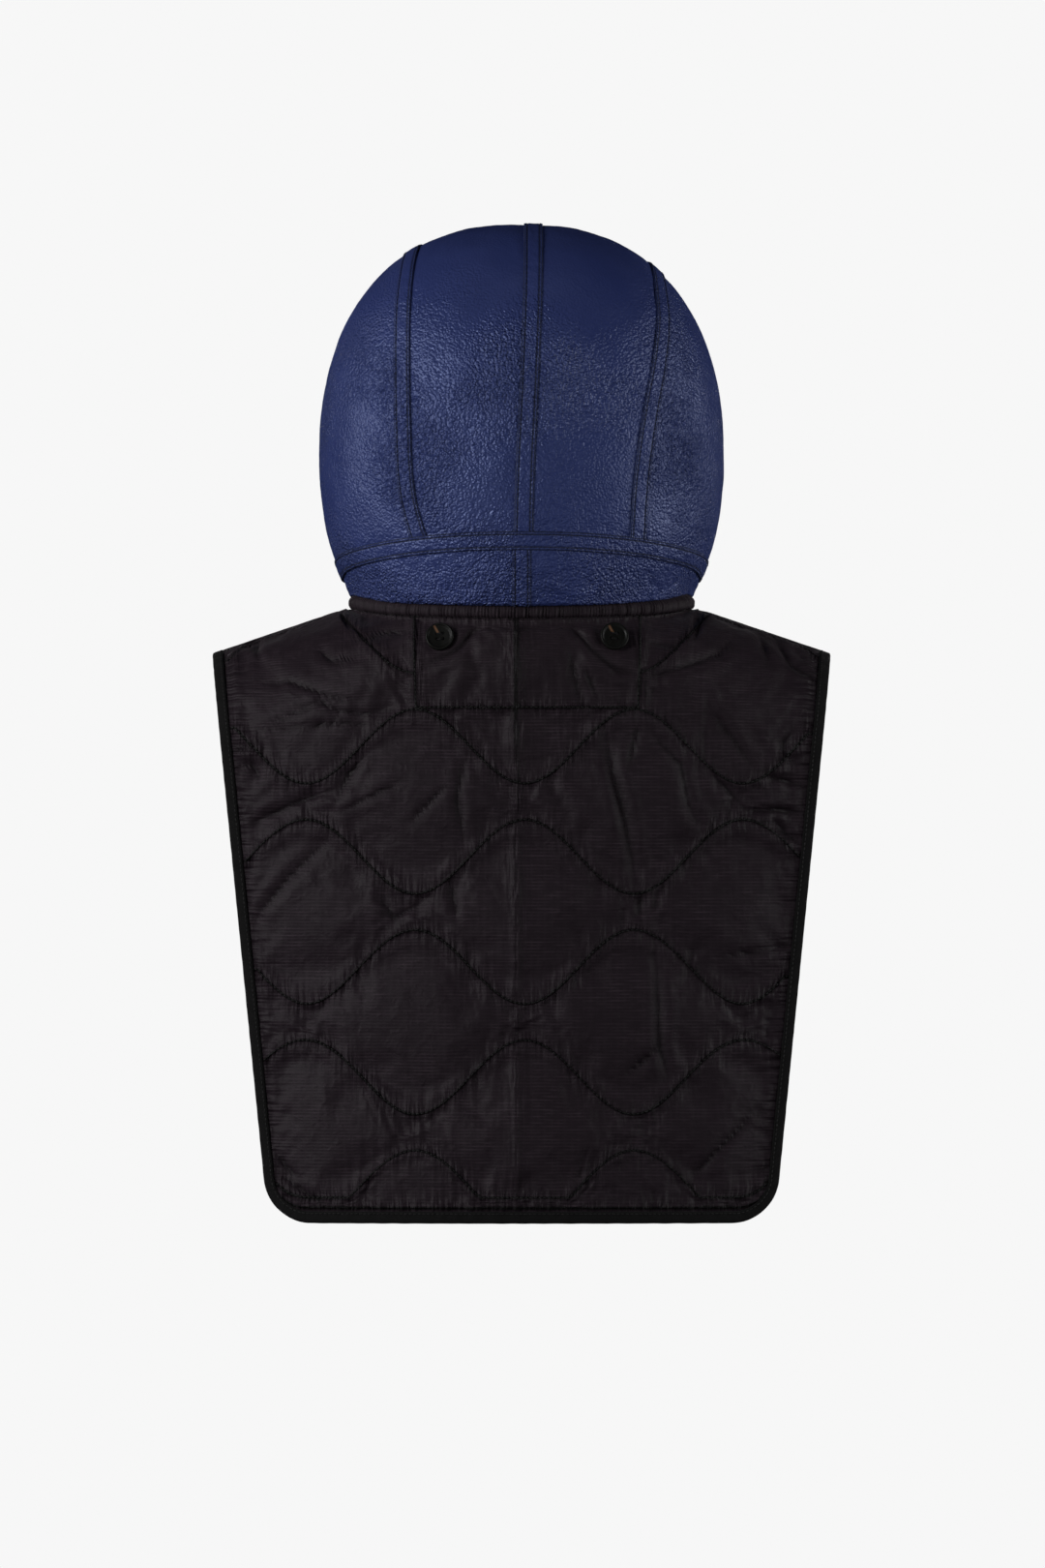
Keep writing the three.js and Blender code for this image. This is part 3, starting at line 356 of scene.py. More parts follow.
@dataclass(frozen=True)
class RipstopFinish:
    """Thin black nylon with fine ribs woven in both ways, puckered where it is quilted; the ribs carry
    painted sheen in patches, and painted shade lies along the quilting seams and in the fold creases.
    """

    name: str = "black_ripstop"
    deep: Colour = (0.0128, 0.0085, 0.0117)
    pale: Colour = (0.0370, 0.0264, 0.0342)
    # Colour of the painted shade along the quilting seams and in the fold creases.
    shade: Colour = (0.0012, 0.0010, 0.0012)
    rib: float = 2.2 * MM
    rib_width: float = 0.30
    gloss: float = 0.50
    is_quilted: bool = True

    def ribs(self, r: Recipe, at: Socket, pitch: float) -> bpy.types.NodeSocket:
        """Gives the ribs of one way of the weave."""
        share = r.calc("FRACT", r.calc("DIVIDE", at, pitch))
        away = r.calc("ABSOLUTE", r.calc("SUBTRACT", share, 0.5))
        edge = {0: away, 1: self.rib_width, 2: self.rib_width * 0.35, 3: 0.0, 4: 1.0}
        return r.add("MapRange", edge).outputs[0]

    def make(self) -> bpy.types.Material:
        """Makes the material."""
        r = Recipe(self.name)
        across, down = r.cloth_place()
        spot = r.place()
        grid = r.calc("MAXIMUM", self.ribs(r, down, self.rib),
                      r.calc("MULTIPLY", self.ribs(r, across, self.rib * 2.0), 0.35))
        # Painted sheen: the woven ribs are painted paler in broken dashes and patches, as where they catch
        # the light; the same noise also varies the roughness.
        gloss_and_sheen_noise = r.noise(spot, 38.0, 4.0)
        rib_glint_dashes = r.streaks(down, across, 1.6 * MM, 14.0 * MM)
        shown = r.add("MapRange", {0: rib_glint_dashes, 1: 0.40, 2: 0.66, 3: 0.15, 4: 1.0}).outputs[0]
        rib_sheen_patches = r.add("MapRange", {0: gloss_and_sheen_noise, 1: 0.36, 2: 0.64, 3: 0.3, 4: 1.0}).outputs[0]
        shown = r.calc("MULTIPLY", shown, rib_sheen_patches)
        paint = r.blend(r.calc("MULTIPLY", r.calc("MULTIPLY", grid, shown), 0.75), self.deep, self.pale)
        crumple = r.add("TexNoise", {"Vector": spot, "Scale": 58.0, "Detail": 2.5, "Distortion": 0.7},
                        noise_type="RIDGED_MULTIFRACTAL").outputs[0]
        crinkle = r.add("TexNoise", {"Vector": spot, "Scale": 190.0, "Detail": 3.0, "Distortion": 0.5},
                        noise_type="RIDGED_MULTIFRACTAL").outputs[0]
        relief = r.bump(crumple, 1.9 * MM, 0.50)
        relief = r.bump(crinkle, 0.60 * MM, 0.60, relief)
        if self.is_quilted:
            away, side = r.mark("away"), r.mark("side")
            fine = r.calc("MULTIPLY", r.streaks(across, down, 2.2 * MM, 14.0 * MM), r.fade(away, 3.0))
            wide = r.calc("MULTIPLY", r.streaks(across, down, 4.2 * MM, 40.0 * MM), r.fade(away, 5.5))
            rays = r.calc("MULTIPLY", r.streaks(down, across, 4.0 * MM, 40.0 * MM), r.fade(side, 8.0))
            relief = r.bump(wide, 5.0 * MM, 0.80, relief)
            relief = r.bump(rays, 5.5 * MM, 0.85, relief)
            relief = r.bump(fine, 3.6 * MM, 1.00, relief)
            # Painted shade in the fold creases, along with their relief.
            crease = r.calc("POWER", r.mark("crease"), 2.0)
            relief = r.bump(r.calc("SUBTRACT", 1.0, crease), 1.3 * MM, 0.9, relief)
            paint = r.blend(r.calc("MULTIPLY", crease, 0.62), paint, self.shade)
            # Painted shade along the quilting seams, where the stitched cloth sinks.
            paint = r.blend(r.line(away, 0.40, 1.15, 0.96), paint, self.shade)
        relief = r.bump(grid, 0.10 * MM, 0.6, relief)
        rough = r.add("MapRange", {0: gloss_and_sheen_noise, 1: 0.3, 2: 0.7, 3: self.gloss, 4: self.gloss + 0.12}).outputs[0]
        return r.finish(Base_Color=paint, Roughness=rough, Normal=relief, Specular_IOR_Level=0.105,
                        Sheen_Weight=0.02, Sheen_Roughness=0.4)


@dataclass(frozen=True)
class TapeFinish:
    """Matt black woven tape, with painted shade in the weave's hollows."""

    name: str = "black_tape"
    deep: Colour = (0.0026, 0.0025, 0.0026)
    pale: Colour = (0.0052, 0.0050, 0.0052)
    rib: float = 0.9 * MM

    def make(self) -> bpy.types.Material:
        """Makes the material."""
        r = Recipe(self.name)
        along, across = r.cloth_place()
        wave = r.calc("SINE", r.calc("MULTIPLY", along, 2.0 * math.pi / self.rib))
        cross = r.calc("SINE", r.calc("MULTIPLY", across, 2.0 * math.pi / self.rib))
        weave = r.calc("MULTIPLY", wave, cross)
        # Painted light and shade: the weave's raised crossings are painted paler and its hollows darker.
        paint = r.blend(r.add("MapRange", {0: weave, 1: -1.0, 2: 1.0}).outputs[0], self.deep, self.pale)
        relief = r.bump(weave, 0.12 * MM, 0.6)
        return r.finish(Base_Color=paint, Roughness=0.88, Normal=relief, Specular_IOR_Level=0.15,
                        Sheen_Weight=0.01)


@dataclass(frozen=True)
class ThreadFinish:
    """Sewing thread with its twist, painted darker in the grooves between its strands."""

    name: str
    paint: Colour
    twist: float = 0.5 * MM

    def make(self) -> bpy.types.Material:
        """Makes the material."""
        r = Recipe(self.name)
        spot = r.place((1.0, 0.4, 1.0))
        strands = r.add("TexWave", {"Vector": spot, "Scale": 1.0 / self.twist, "Distortion": 1.0},
                        bands_direction="DIAGONAL").outputs[1]
        # Painted shade: the grooves of the twist are painted darker.
        paint = r.blend(strands, tuple(part * 0.6 for part in self.paint), self.paint)
        return r.finish(Base_Color=paint, Roughness=0.6, Normal=r.bump(strands, 0.08 * MM, 0.5),
                        Specular_IOR_Level=0.3)


@dataclass(frozen=True)
class HornFinish:
    """Dark polished horn with one tan streak from the holes to the rim."""

    name: str
    middle: tuple[float, float]
    deep: Colour = (0.0026, 0.0028, 0.0025)
    pale: Colour = (0.0060, 0.0062, 0.0054)
    streak: Colour = (0.1500, 0.0800, 0.0460)
    streak_start: float = 1.6 * MM
    streak_end: float = 8.2 * MM
    lean: float = math.radians(28.0)

    def make(self) -> bpy.types.Material:
        """Makes the material."""
        r = Recipe(self.name)
        cloud = r.noise(r.place((1.0, 1.0, 0.35)), 190.0, 4.0)
        spots = r.add("SeparateXYZ", {0: r.place()}).outputs
        x, z = (r.calc("SUBTRACT", spots[axis], part) for axis, part in zip((0, 2), self.middle))
        turn = (math.cos(self.lean), math.sin(self.lean))
        across = r.calc("ADD", r.calc("MULTIPLY", x, turn[0]), r.calc("MULTIPLY", z, turn[1]))
        along = r.calc("SUBTRACT", r.calc("MULTIPLY", z, turn[0]), r.calc("MULTIPLY", x, turn[1]))
        past = r.calc("SUBTRACT", along, (self.streak_start + self.streak_end) / 2)
        half = (self.streak_end - self.streak_start) / 2
        long = r.line(past, half - 0.6 * MM, half)
        shown = r.calc("MULTIPLY", r.line(across, 0.3 * MM, 1.1 * MM), long)
        paint = r.blend(r.calc("MULTIPLY", shown, 0.8), r.blend(cloud, self.deep, self.pale), self.streak)
        rough = r.add("MapRange", {0: cloud, 1: 0.3, 2: 0.7, 3: 0.34, 4: 0.46}).outputs[0]
        return r.finish(Base_Color=paint, Roughness=rough, Normal=r.bump(cloud, 0.05 * MM, 0.4),
                        Specular_IOR_Level=0.12)


class Finish(Enum):
    """The finishes of the hood and bib."""

    LEATHER = LeatherFinish()
    WOOL = WoolFinish()
    RIPSTOP = RipstopFinish()
    ROLL = RipstopFinish(name="roll_ripstop", gloss=0.55, is_quilted=False)
    TAPE = TapeFinish()
    LEFT_HORN = HornFinish("left_horn", (-54.7 * MM, -269.9 * MM))
    RIGHT_HORN = HornFinish("right_horn", (62.2 * MM, -269.7 * MM))
    NAVY_THREAD = ThreadFinish("navy_thread", (0.0120, 0.0165, 0.0500))
    BLACK_THREAD = ThreadFinish("black_thread", (0.0060, 0.0056, 0.0060))

    @cached_property
    def material(self) -> bpy.types.Material:
        """The finish's material, made once."""
        return self.value.make()


@dataclass
class SheetMesh:
    """A flat grid, or a slab of it, whose vertices know their column, row and layer."""

    name: str
    columns: int
    rows: int
    layers: int = 0

    def __post_init__(self) -> None:
        """Makes the grid."""
        shape = bmesh.new()
        bmesh.ops.create_grid(shape, x_segments=self.columns, y_segments=self.rows, size=0.5)
        bmesh.ops.translate(shape, verts=shape.verts[:], vec=(0.5, 0.5, 0.0))
        if self.layers:
            bmesh.ops.solidify(shape, geom=shape.faces[:], thickness=1.0)
            uprights = [e for e in shape.edges if abs(e.verts[0].co.z - e.verts[1].co.z) > 0.5]
            if self.layers > 1:
                bmesh.ops.subdivide_edges(shape, edges=uprights, cuts=self.layers - 1, use_grid_fill=True)
        self.mesh = bpy.data.meshes.new(self.name)
        shape.to_mesh(self.mesh)
        shape.free()
        flat = np.empty(len(self.mesh.vertices) * 3)
        self.mesh.vertices.foreach_get("co", flat)
        counts = (self.columns, self.rows, max(self.layers, 1))
        self.place = np.rint(np.abs(flat.reshape(-1, 3)) * counts).astype(int)

    def lay(
        self,
        top: np.ndarray,
        under: Optional[np.ndarray] = None,
        share: Optional[Sequence[float]] = None,
    ) -> None:
        """Moves the vertices onto one or two grids of places.

        Args:
            top: Places of the first layer, by row and column.
            under: Places of the last layer.
            share: How far each layer lies from the first to the last.
        """
        column, row, layer = self.place.T
        spots = top[row, column]
        if under is not None:
            depth = np.linspace(0.0, 1.0, self.layers + 1) if share is None else np.array(share)
            spots = lerp(spots, under[row, column], depth[layer][:, None])
        self.mesh.vertices.foreach_set("co", spots.astype(np.float32).ravel())
        self.mesh.update()

    def map_cloth(self, across: np.ndarray, down: np.ndarray) -> None:
        """Gives the mesh a map of its cloth, from the places along and across it by row and column."""
        column, row, _ = self.place.T
        corners = np.empty(len(self.mesh.loops), dtype=int)
        self.mesh.loops.foreach_get("vertex_index", corners)
        spots = np.stack([across[row, column], down[row, column]], axis=1)[corners]
        layer = self.mesh.uv_layers.new(name="cloth")
        layer.data.foreach_set("uv", spots.astype(np.float32).ravel())

    def mark(self, name: str, values: np.ndarray) -> None:
        """Keeps a number at the vertices for the finish to read, given by row and column."""
        column, row, _ = self.place.T
        layer = self.mesh.attributes.new(name, "FLOAT", "POINT")
        layer.data.foreach_set("value", values[row, column].astype(np.float32))

    def layers_of_faces(self) -> np.ndarray:
        """Gives the mean layer of each face's corners."""
        return np.array([self.place[list(face.vertices), 2].mean() for face in self.mesh.polygons])


def close_up(mesh: bpy.types.Mesh, weld: float = 0.0) -> None:
    """Welds a mesh's seams and turns its faces out.

    Args:
        mesh: Mesh to close.
        weld: Distance within which its vertices become one.
    """
    shape = bmesh.new()
    shape.from_mesh(mesh)
    if weld:
        bmesh.ops.remove_doubles(shape, verts=shape.verts[:], dist=weld)
    bmesh.ops.recalc_face_normals(shape, faces=shape.faces[:])
    shape.to_mesh(mesh)
    shape.free()
    mesh.polygons.foreach_set("use_smooth", [True] * len(mesh.polygons))
    mesh.update()


def add_piece(
    name: str,
    mesh: bpy.types.Mesh,
    finishes: Sequence[Finish],
    nodes: Sequence[str] = (),
) -> bpy.types.Object:
    """Adds a finished mesh to the scene as a piece of the object.

    Args:
        name: Name of the piece.
        mesh: Its mesh, in place.
        finishes: Its finishes, in the order of its material numbers.
        nodes: Solids that it stands for.

    Returns:
        The piece.
    """
    piece = bpy.data.objects.new(name, mesh)
    bpy.context.scene.collection.objects.link(piece)
    for finish in finishes:
        mesh.materials.append(finish.material)
    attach(piece, "root")
    if nodes:
        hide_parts(*nodes)
    sides = sum(len(face.vertices) - 2 for face in mesh.polygons)
    LOG.info("%s: %d triangles", name, sides)
    return piece


@dataclass
class Stitches:
    """Rows of sewing stitches gathered into one mesh."""

    name: str
    length: float = 2.5 * MM
    pitch: float = 3.1 * MM
    thick: float = 0.62 * MM
    batch: int = 40
    places: list[np.ndarray] = field(default_factory=list)

    def sew(self, line: np.ndarray, normals: np.ndarray, lift: float = 0.0, is_loop: bool = False) -> None:
        """Sews one row.

        Args:
            line: Places that the row passes through.
            normals: Ways out of the cloth there.
            lift: Height of the thread over the cloth.
            is_loop: Whether the row ends where it starts.
        """
        spots, outs = along_line(line, self.pitch, normals)
        if is_loop:
            spots, outs = spots[:-1], outs[:-1]
        ways = unit(np.gradient(spots, axis=0))
        sides = unit(np.cross(outs, ways))
        ups = np.cross(ways, sides)
        turns = np.stack([sides * self.thick / 2, ways * self.length / 2, ups * self.thick / 2], axis=1)
        self.places.append(np.concatenate([turns, (spots + unit(outs) * lift)[:, None]], axis=1))

    def finish(self, finish: Finish, slot: str) -> bpy.types.Object:
        """Adds the stitches to the scene.

        Args:
            finish: Finish of the thread.
            slot: Not used.

        Returns:
            The piece that holds every stitch.
        """
        places = np.concatenate(self.places)
        mesh = bpy.data.meshes.new(self.name)
        part = bpy.data.meshes.new(self.name + "_part")
        tip = Matrix.Rotation(math.pi / 2.0, 4, "X")
        whole = bmesh.new()
        for start in range(0, len(places), self.batch):
            shape = bmesh.new()
            for turns in places[start:start + self.batch]:
                place = Matrix(np.vstack([turns.T, (0.0, 0.0, 0.0, 1.0)])) @ tip
                bmesh.ops.create_uvsphere(shape, u_segments=6, v_segments=4, radius=1.0, matrix=place)
            shape.to_mesh(part)
            shape.free()
            whole.from_mesh(part)
        whole.to_mesh(mesh)
        whole.free()
        bpy.data.meshes.remove(part)
        close_up(mesh)
        return add_piece(self.name, mesh, [finish])


@dataclass(frozen=True)
class Dent:
    """A soft dent of the hood: its place and reach as shares of the hood, its depth in metres."""

    across: float
    down: float
    depth: float
    reach: float


@dataclass(frozen=True)
class HoodForm:
    """The rounded form that every panel, strip and ring of the hood lies on."""

    half_width: float = 135.9 * MM
    crown_rise: float = 160.0 * MM
    lower_reach: float = 171.0 * MM
    neck_drop: float = 256.8 * MM
    back_depth: float = 119.0 * MM
    front_depth_at_neck: float = 119.0 * MM
    front_depth_at_crown: float = 230.0 * MM
    face_edge_at_crown: float = 102.0 * MM
    face_edge_at_chin: float = 97.0 * MM
    wall: float = 7.0 * MM
    seam_gap: float = 0.3 * MM
    crown_squareness: float = 2.35
    lower_squareness: float = 2.0
    depth_squareness: float = 2.2
    nape: Table = ((0, 0.83), (20, 0.8335), (40, 0.847), (60, 0.87), (90, 0.905), (120, 0.925), (150, 0.935),
                   (180, 0.938))
    neck: Table = ((0, 1.0), (45, 0.993), (90, 0.974), (135, 1.01), (180, 1.045))
    dents: tuple[Dent, ...] = (
        Dent(0.87, 0.96, 4.2 * MM, 0.13),
        Dent(0.62, 0.96, 2.45 * MM, 0.14),
        Dent(-0.84, 0.94, 2.45 * MM, 0.14),
        Dent(-0.3, 0.55, 2.1 * MM, 0.16),
        Dent(0.32, 0.5, 1.75 * MM, 0.18),
        Dent(-0.1, 0.16, 1.4 * MM, 0.18),
    )

    @property
    def top(self) -> float:
        """Level of the crown's outside."""
        return self.wall

    @property
    def widest(self) -> float:
        """Level where the hood is widest."""
        return self.top - self.crown_rise

    @property
    def core(self) -> np.ndarray:
        """Middle of the form."""
        return np.array([0.0, 0.0, self.widest])

    def level(self, places: np.ndarray) -> np.ndarray:
        """Gives 1 on the leather and less inside it."""
        x, y, z = np.moveaxis(places, -1, 0)
        up = z - self.widest
        rise = np.where(up > 0, self.crown_rise, self.lower_reach)
        power = np.where(up > 0, self.crown_squareness, self.lower_squareness)
        flat = np.abs(x / self.half_width) ** power + np.abs(up / rise) ** power
        slope = up / np.maximum(np.sqrt(x * x + y * y + up * up), 1e-12)
        front = lerp(self.front_depth_at_neck, self.front_depth_at_crown, smoothstep(slope, -0.6, 0.0))
        deep = np.abs(y / np.where(y < 0, self.back_depth, front)) ** self.depth_squareness
        return flat ** (self.depth_squareness / power) + deep

    def onto(self, places: np.ndarray) -> np.ndarray:
        """Moves places straight out or in onto the form."""
        scale = self.level(places) ** (-1.0 / self.depth_squareness)
        return (places - self.core) * scale[..., None] + self.core

    def normal(self, places: np.ndarray) -> np.ndarray:
        """Gives the way out of the leather."""
        step = 0.05 * MM
        parts = [self.level(places + way) - self.level(places - way) for way in np.eye(3) * step]
        return unit(np.stack(parts, axis=-1))

    def lift(self, places: np.ndarray, distance: Any) -> np.ndarray:
        """Moves places on the form into its dents, then out by a distance."""
        sink = np.zeros(places.shape[:-1])
        for dent in self.dents:
            reach = dent.reach * self.half_width
            across = places[..., 0] - dent.across * self.half_width
            down = places[..., 2] - self.top + dent.down * self.neck_drop
            behind = smoothstep(-places[..., 1], -reach, reach)
            sink += dent.depth * np.exp(-(across**2 + down**2) / reach**2) * behind
        return places + self.normal(places) * (distance - sink)[..., None]

    def on_seam(self, seam: Table, around: Any) -> np.ndarray:
        """Gives a lengthwise seam's places at angles from straight up round to the back."""
        around = np.asarray(around, dtype=float)
        across = read_table(seam, around) * self.half_width
        turn = np.radians(around)

        def at(reach: np.ndarray) -> np.ndarray:
            return np.stack([across, -reach * np.sin(turn), self.widest + reach * np.cos(turn)], axis=-1)

        return at(solve(lambda reach: self.level(at(reach)), 1.0, 0.0 * around, 3 * self.lower_reach))

    def on_ring(self, ring: Table, azimuth: Any, side: float) -> np.ndarray:
        """Gives a neck line's places at angles from the back round to the front."""
        azimuth = np.asarray(azimuth, dtype=float)
        level = self.top - read_table(ring, azimuth, flat_ends=True) * self.neck_drop
        turn = np.radians(azimuth)

        def at(reach: np.ndarray) -> np.ndarray:
            return np.stack([side * reach * np.sin(turn), -reach * np.cos(turn), level], axis=-1)

        return at(solve(lambda reach: self.level(at(reach)), 1.0, 0.0 * azimuth, 3 * self.half_width))

    def face_depth(self, level: Any) -> np.ndarray:
        """Gives how far forward the face edge lies at a level."""
        chin = self.top - self.nape[-1][1] * self.neck_drop
        return lerp(self.face_edge_at_crown, self.face_edge_at_chin, (self.top - level) / (self.top - chin))

    def on_face_edge(self, angle: Any) -> np.ndarray:
        """Gives the face edge's places at angles from straight up."""
        angle = np.asarray(angle, dtype=float)

        def at(reach: np.ndarray) -> np.ndarray:
            level = self.widest + reach * np.cos(angle)
            return np.stack([reach * np.sin(angle), self.face_depth(level), level], axis=-1)

        return at(solve(lambda reach: self.level(at(reach)), 1.0, 0.0 * angle, 3 * self.lower_reach))

    def face_angle(self, place: np.ndarray) -> float:
        """Gives a place's angle from straight up, seen from behind."""
        return math.atan2(place[0], place[2] - self.widest)

    def seam_span(self, seam: Table) -> tuple[float, float]:
        """Gives the angles where a seam leaves the face edge and meets the nape seam."""

        def short(around: np.ndarray) -> np.ndarray:
            place = self.on_seam(seam, around)
            return self.face_depth(place[..., 2]) - place[..., 1]

        def past(around: np.ndarray) -> np.ndarray:
            place = self.on_seam(seam, around)
            azimuth = np.degrees(np.arctan2(np.abs(place[..., 0]), -place[..., 1]))
            return self.top - read_table(self.nape, azimuth, flat_ends=True) * self.neck_drop - place[..., 2]

        return float(solve(short, 0.0, -50.0, 0.0)), float(solve(past, 0.0, 60.0, 135.0))

    @cached_property
    def chin_azimuth(self) -> float:
        """Angle round the neck where the nape seam meets the face edge."""

        def past(azimuth: np.ndarray) -> np.ndarray:
            place = self.on_ring(self.nape, azimuth, 1.0)
            return place[..., 1] - self.face_depth(place[..., 2])

        return float(solve(past, 0.0, 90.0, 180.0))


def azimuth_of(place: np.ndarray) -> float:
    """Gives a place's angle round the neck from the back."""
    return math.degrees(math.atan2(abs(place[0]), -place[1]))


@dataclass
class Hood:
    """The six shearling panels, the strips over their seams and the hood's sewing."""

    form: HoodForm = field(default_factory=HoodForm)
    centre: Table = ((-50, 0.058), (0, 0.058), (35, 0.056), (65, 0.038),
                     (90, 0.019), (115, 0.008), (140, 0.002))
    left: Table = ((-50, -0.49), (0, -0.536), (19, -0.564), (36, -0.585), (62, -0.588),
                   (90, -0.579), (103, -0.562),
                   (113, -0.526), (122, -0.48))
    right: Table = ((-50, 0.61), (0, 0.665), (20, 0.687), (35, 0.701), (50, 0.684), (70, 0.64), (90, 0.603),
                    (105, 0.584), (122, 0.571))
    cell: float = 2.7 * MM
    leather: float = 1.4 * MM
    ear_azimuth: float = 75.0
    strip_width: float = 12.6 * MM
    strip_thickness: float = 0.75 * MM
    strip_seat: float = 0.12 * MM
    loop_seat: float = 0.35 * MM
    strip_end: float = 3.3 * MM
    stitch_inset: float = 2.2 * MM
    tuck: float = 0.30 * MM
    tuck_reach: float = 3.0 * MM
    wrinkle: Ripples = field(default_factory=lambda: Ripples(11, 30 * MM))
    pucker: Ripples = field(default_factory=lambda: Ripples(12, 8.5 * MM))
    curls: Ripples = field(default_factory=lambda: Ripples(13, 7.5 * MM))
    small_curls: Ripples = field(default_factory=lambda: Ripples(14, 5.4 * MM))

    def seam(self, table: Table, count: int, short: float = 0.0) -> np.ndarray:
        """Gives evenly shared places of a seam, from the face edge to a distance short of the nape."""
        start, end = self.form.seam_span(table)
        end -= math.degrees(short / self.form.back_depth)
        return self.form.on_seam(table, np.linspace(start, end, count + 1))

    def between(self, top: np.ndarray, bottom: np.ndarray, left: np.ndarray, right: np.ndarray) -> np.ndarray:
        """Fills the space inside four border lines with places on the form.

        Args:
            top: First row of places.
            bottom: Last row.
            left: First column.
            right: Last column.

        Returns:
            Places by row and column.
        """
        u = np.linspace(0.0, 1.0, len(top))[None, :, None]
        v = np.linspace(0.0, 1.0, len(left))[:, None, None]
        across = lerp(left[:, None], right[:, None], u)
        down = lerp(top[None], bottom[None], v)
        corners = lerp(lerp(top[0], top[-1], u), lerp(bottom[0], bottom[-1], u), v)
        return self.form.onto(across + down - corners)

    def draw_in(self, grid: np.ndarray) -> np.ndarray:
        """Draws a grid's border in by half a seam gap, so that neighbours stay clear."""
        moved = grid.copy()
        for edge, inner in (((0,), (1,)), ((-1,), (-2,)), ((slice(None), 0), (slice(None), 1)),
                            ((slice(None), -1), (slice(None), -2))):
            moved[edge] += unit(grid[inner] - grid[edge]) * self.form.seam_gap / 2
        return moved

    def past_strip(self, grid: np.ndarray, face_rim: bool) -> np.ndarray:
        """Gives each place's distance from the nearest strip's edge, under 0 beneath a strip."""
        over = np.linalg.norm(np.diff(grid, axis=1), axis=-1)
        down = np.linalg.norm(np.diff(grid, axis=0), axis=-1)
        start = np.zeros((grid.shape[0], 1))
        from_left = np.concatenate([start, np.cumsum(over, axis=1)], axis=1)
        from_top = np.concatenate([np.zeros((1, grid.shape[1])), np.cumsum(down, axis=0)])
        near = [from_top]
        if face_rim:
            near = [from_top[-1:] - from_top, from_left, from_left[:, -1:] - from_left]
        return np.minimum.reduce(near) - self.strip_width / 2

    def panel(self, name: str, grid: np.ndarray, gather: np.ndarray, face_rim: bool) -> bpy.types.Object:
        """Makes one shearling panel.

        Args:
            name: Name of its solid.
            grid: Places of its leather, by row and column.
            gather: How much the leather puckers there, from 0 to 1.
            face_rim: Whether its first row is the open face edge.

        Returns:
            The piece.
        """
        grid = self.draw_in(grid)
        rows, columns = grid.shape[0] - 1, grid.shape[1] - 1
        relief = 0.14 * MM * self.wrinkle.over(grid) + 0.30 * MM * self.pucker.over(grid) * gather
        past = self.past_strip(grid, face_rim)
        relief += self.tuck * (1.0 - np.exp(-np.maximum(past, 0.0) / self.tuck_reach)) - self.tuck
        edge = np.minimum.reduce([
            *np.broadcast_arrays(
                np.arange(rows + 1)[:, None] + (4.0 if face_rim else 0.0),
                (rows - np.arange(rows + 1))[:, None],
                np.arange(columns + 1)[None, :],
                (columns - np.arange(columns + 1))[None, :],
            )
        ])
        inside = np.clip(edge / 3.0, 0.0, 1.0)
        pile = 0.9 * MM * self.curls.over(grid) + 0.6 * MM * self.small_curls.over(grid)
        pile = np.clip(pile, -1.6 * MM, 1.3 * MM) * inside
        outer = self.form.lift(grid, relief * np.clip(edge / 2.0, 0.0, 1.0))
        inner = self.form.lift(grid, pile - self.form.wall)
        sheet = SheetMesh(name + "_shearling", columns, rows, 4)
        share = [0.0, self.leather / self.form.wall, 0.45, 0.75, 1.0]
        sheet.lay(outer, inner, share)
        sheet.mark("inside", -past / MM)
        layers = sheet.layers_of_faces()
        sheet.mesh.polygons.foreach_set("material_index", (layers > 0.6).astype(int))
        if face_rim:
            self.fluff_rim(sheet)
        close_up(sheet.mesh)
        finishes = [Finish.LEATHER, Finish.WOOL]
        return add_piece(name + "_shearling", sheet.mesh, finishes, [name])

    def fluff_rim(self, sheet: SheetMesh) -> None:
        """Swells the wool at the face edge a little past the cut leather."""
        column, row, layer = sheet.place.T
        flat = np.empty(len(sheet.mesh.vertices) * 3, dtype=np.float32)
        sheet.mesh.vertices.foreach_get("co", flat)
        places = flat.reshape(-1, 3)
        is_wool = (row == 0) & (layer >= 2)
        swell = (1.0 + 0.8 * self.curls.over(places * 1.3)) * MM
        places[is_wool, 1] += np.clip(swell, 0.0, 2.2 * MM)[is_wool]
        sheet.mesh.vertices.foreach_set("co", places.ravel())

    def crown_panel(self, name: str, table: Table, side: float) -> bpy.types.Object:
        """Makes the panel between the centre seam and a side seam."""
        down, across = 140, 50
        middle, edge = self.seam(self.centre, down), self.seam(table, down)
        angles = np.linspace(self.form.face_angle(middle[0]), self.form.face_angle(edge[0]), across + 1)
        ring = np.linspace(side * azimuth_of(middle[-1]), azimuth_of(edge[-1]), across + 1)
        bottom = self.form.on_ring(self.form.nape, ring, side)
        bottom[0] = middle[-1]
        grid = self.between(self.form.on_face_edge(angles), bottom, middle, edge)
        return self.panel("crown_panel_" + name, grid, self.gather_at_nape(grid, down), True)

    def gather_at_nape(self, grid: np.ndarray, down: int) -> np.ndarray:
        """Gives the puckers of a panel that is sewn to the nape seam along its last row."""
        rows = np.arange(down + 1)[:, None]
        near = np.exp(-((down - rows) * self.cell / (9.0 * MM)))
        return np.broadcast_to(near + 0.16, grid.shape[:2])

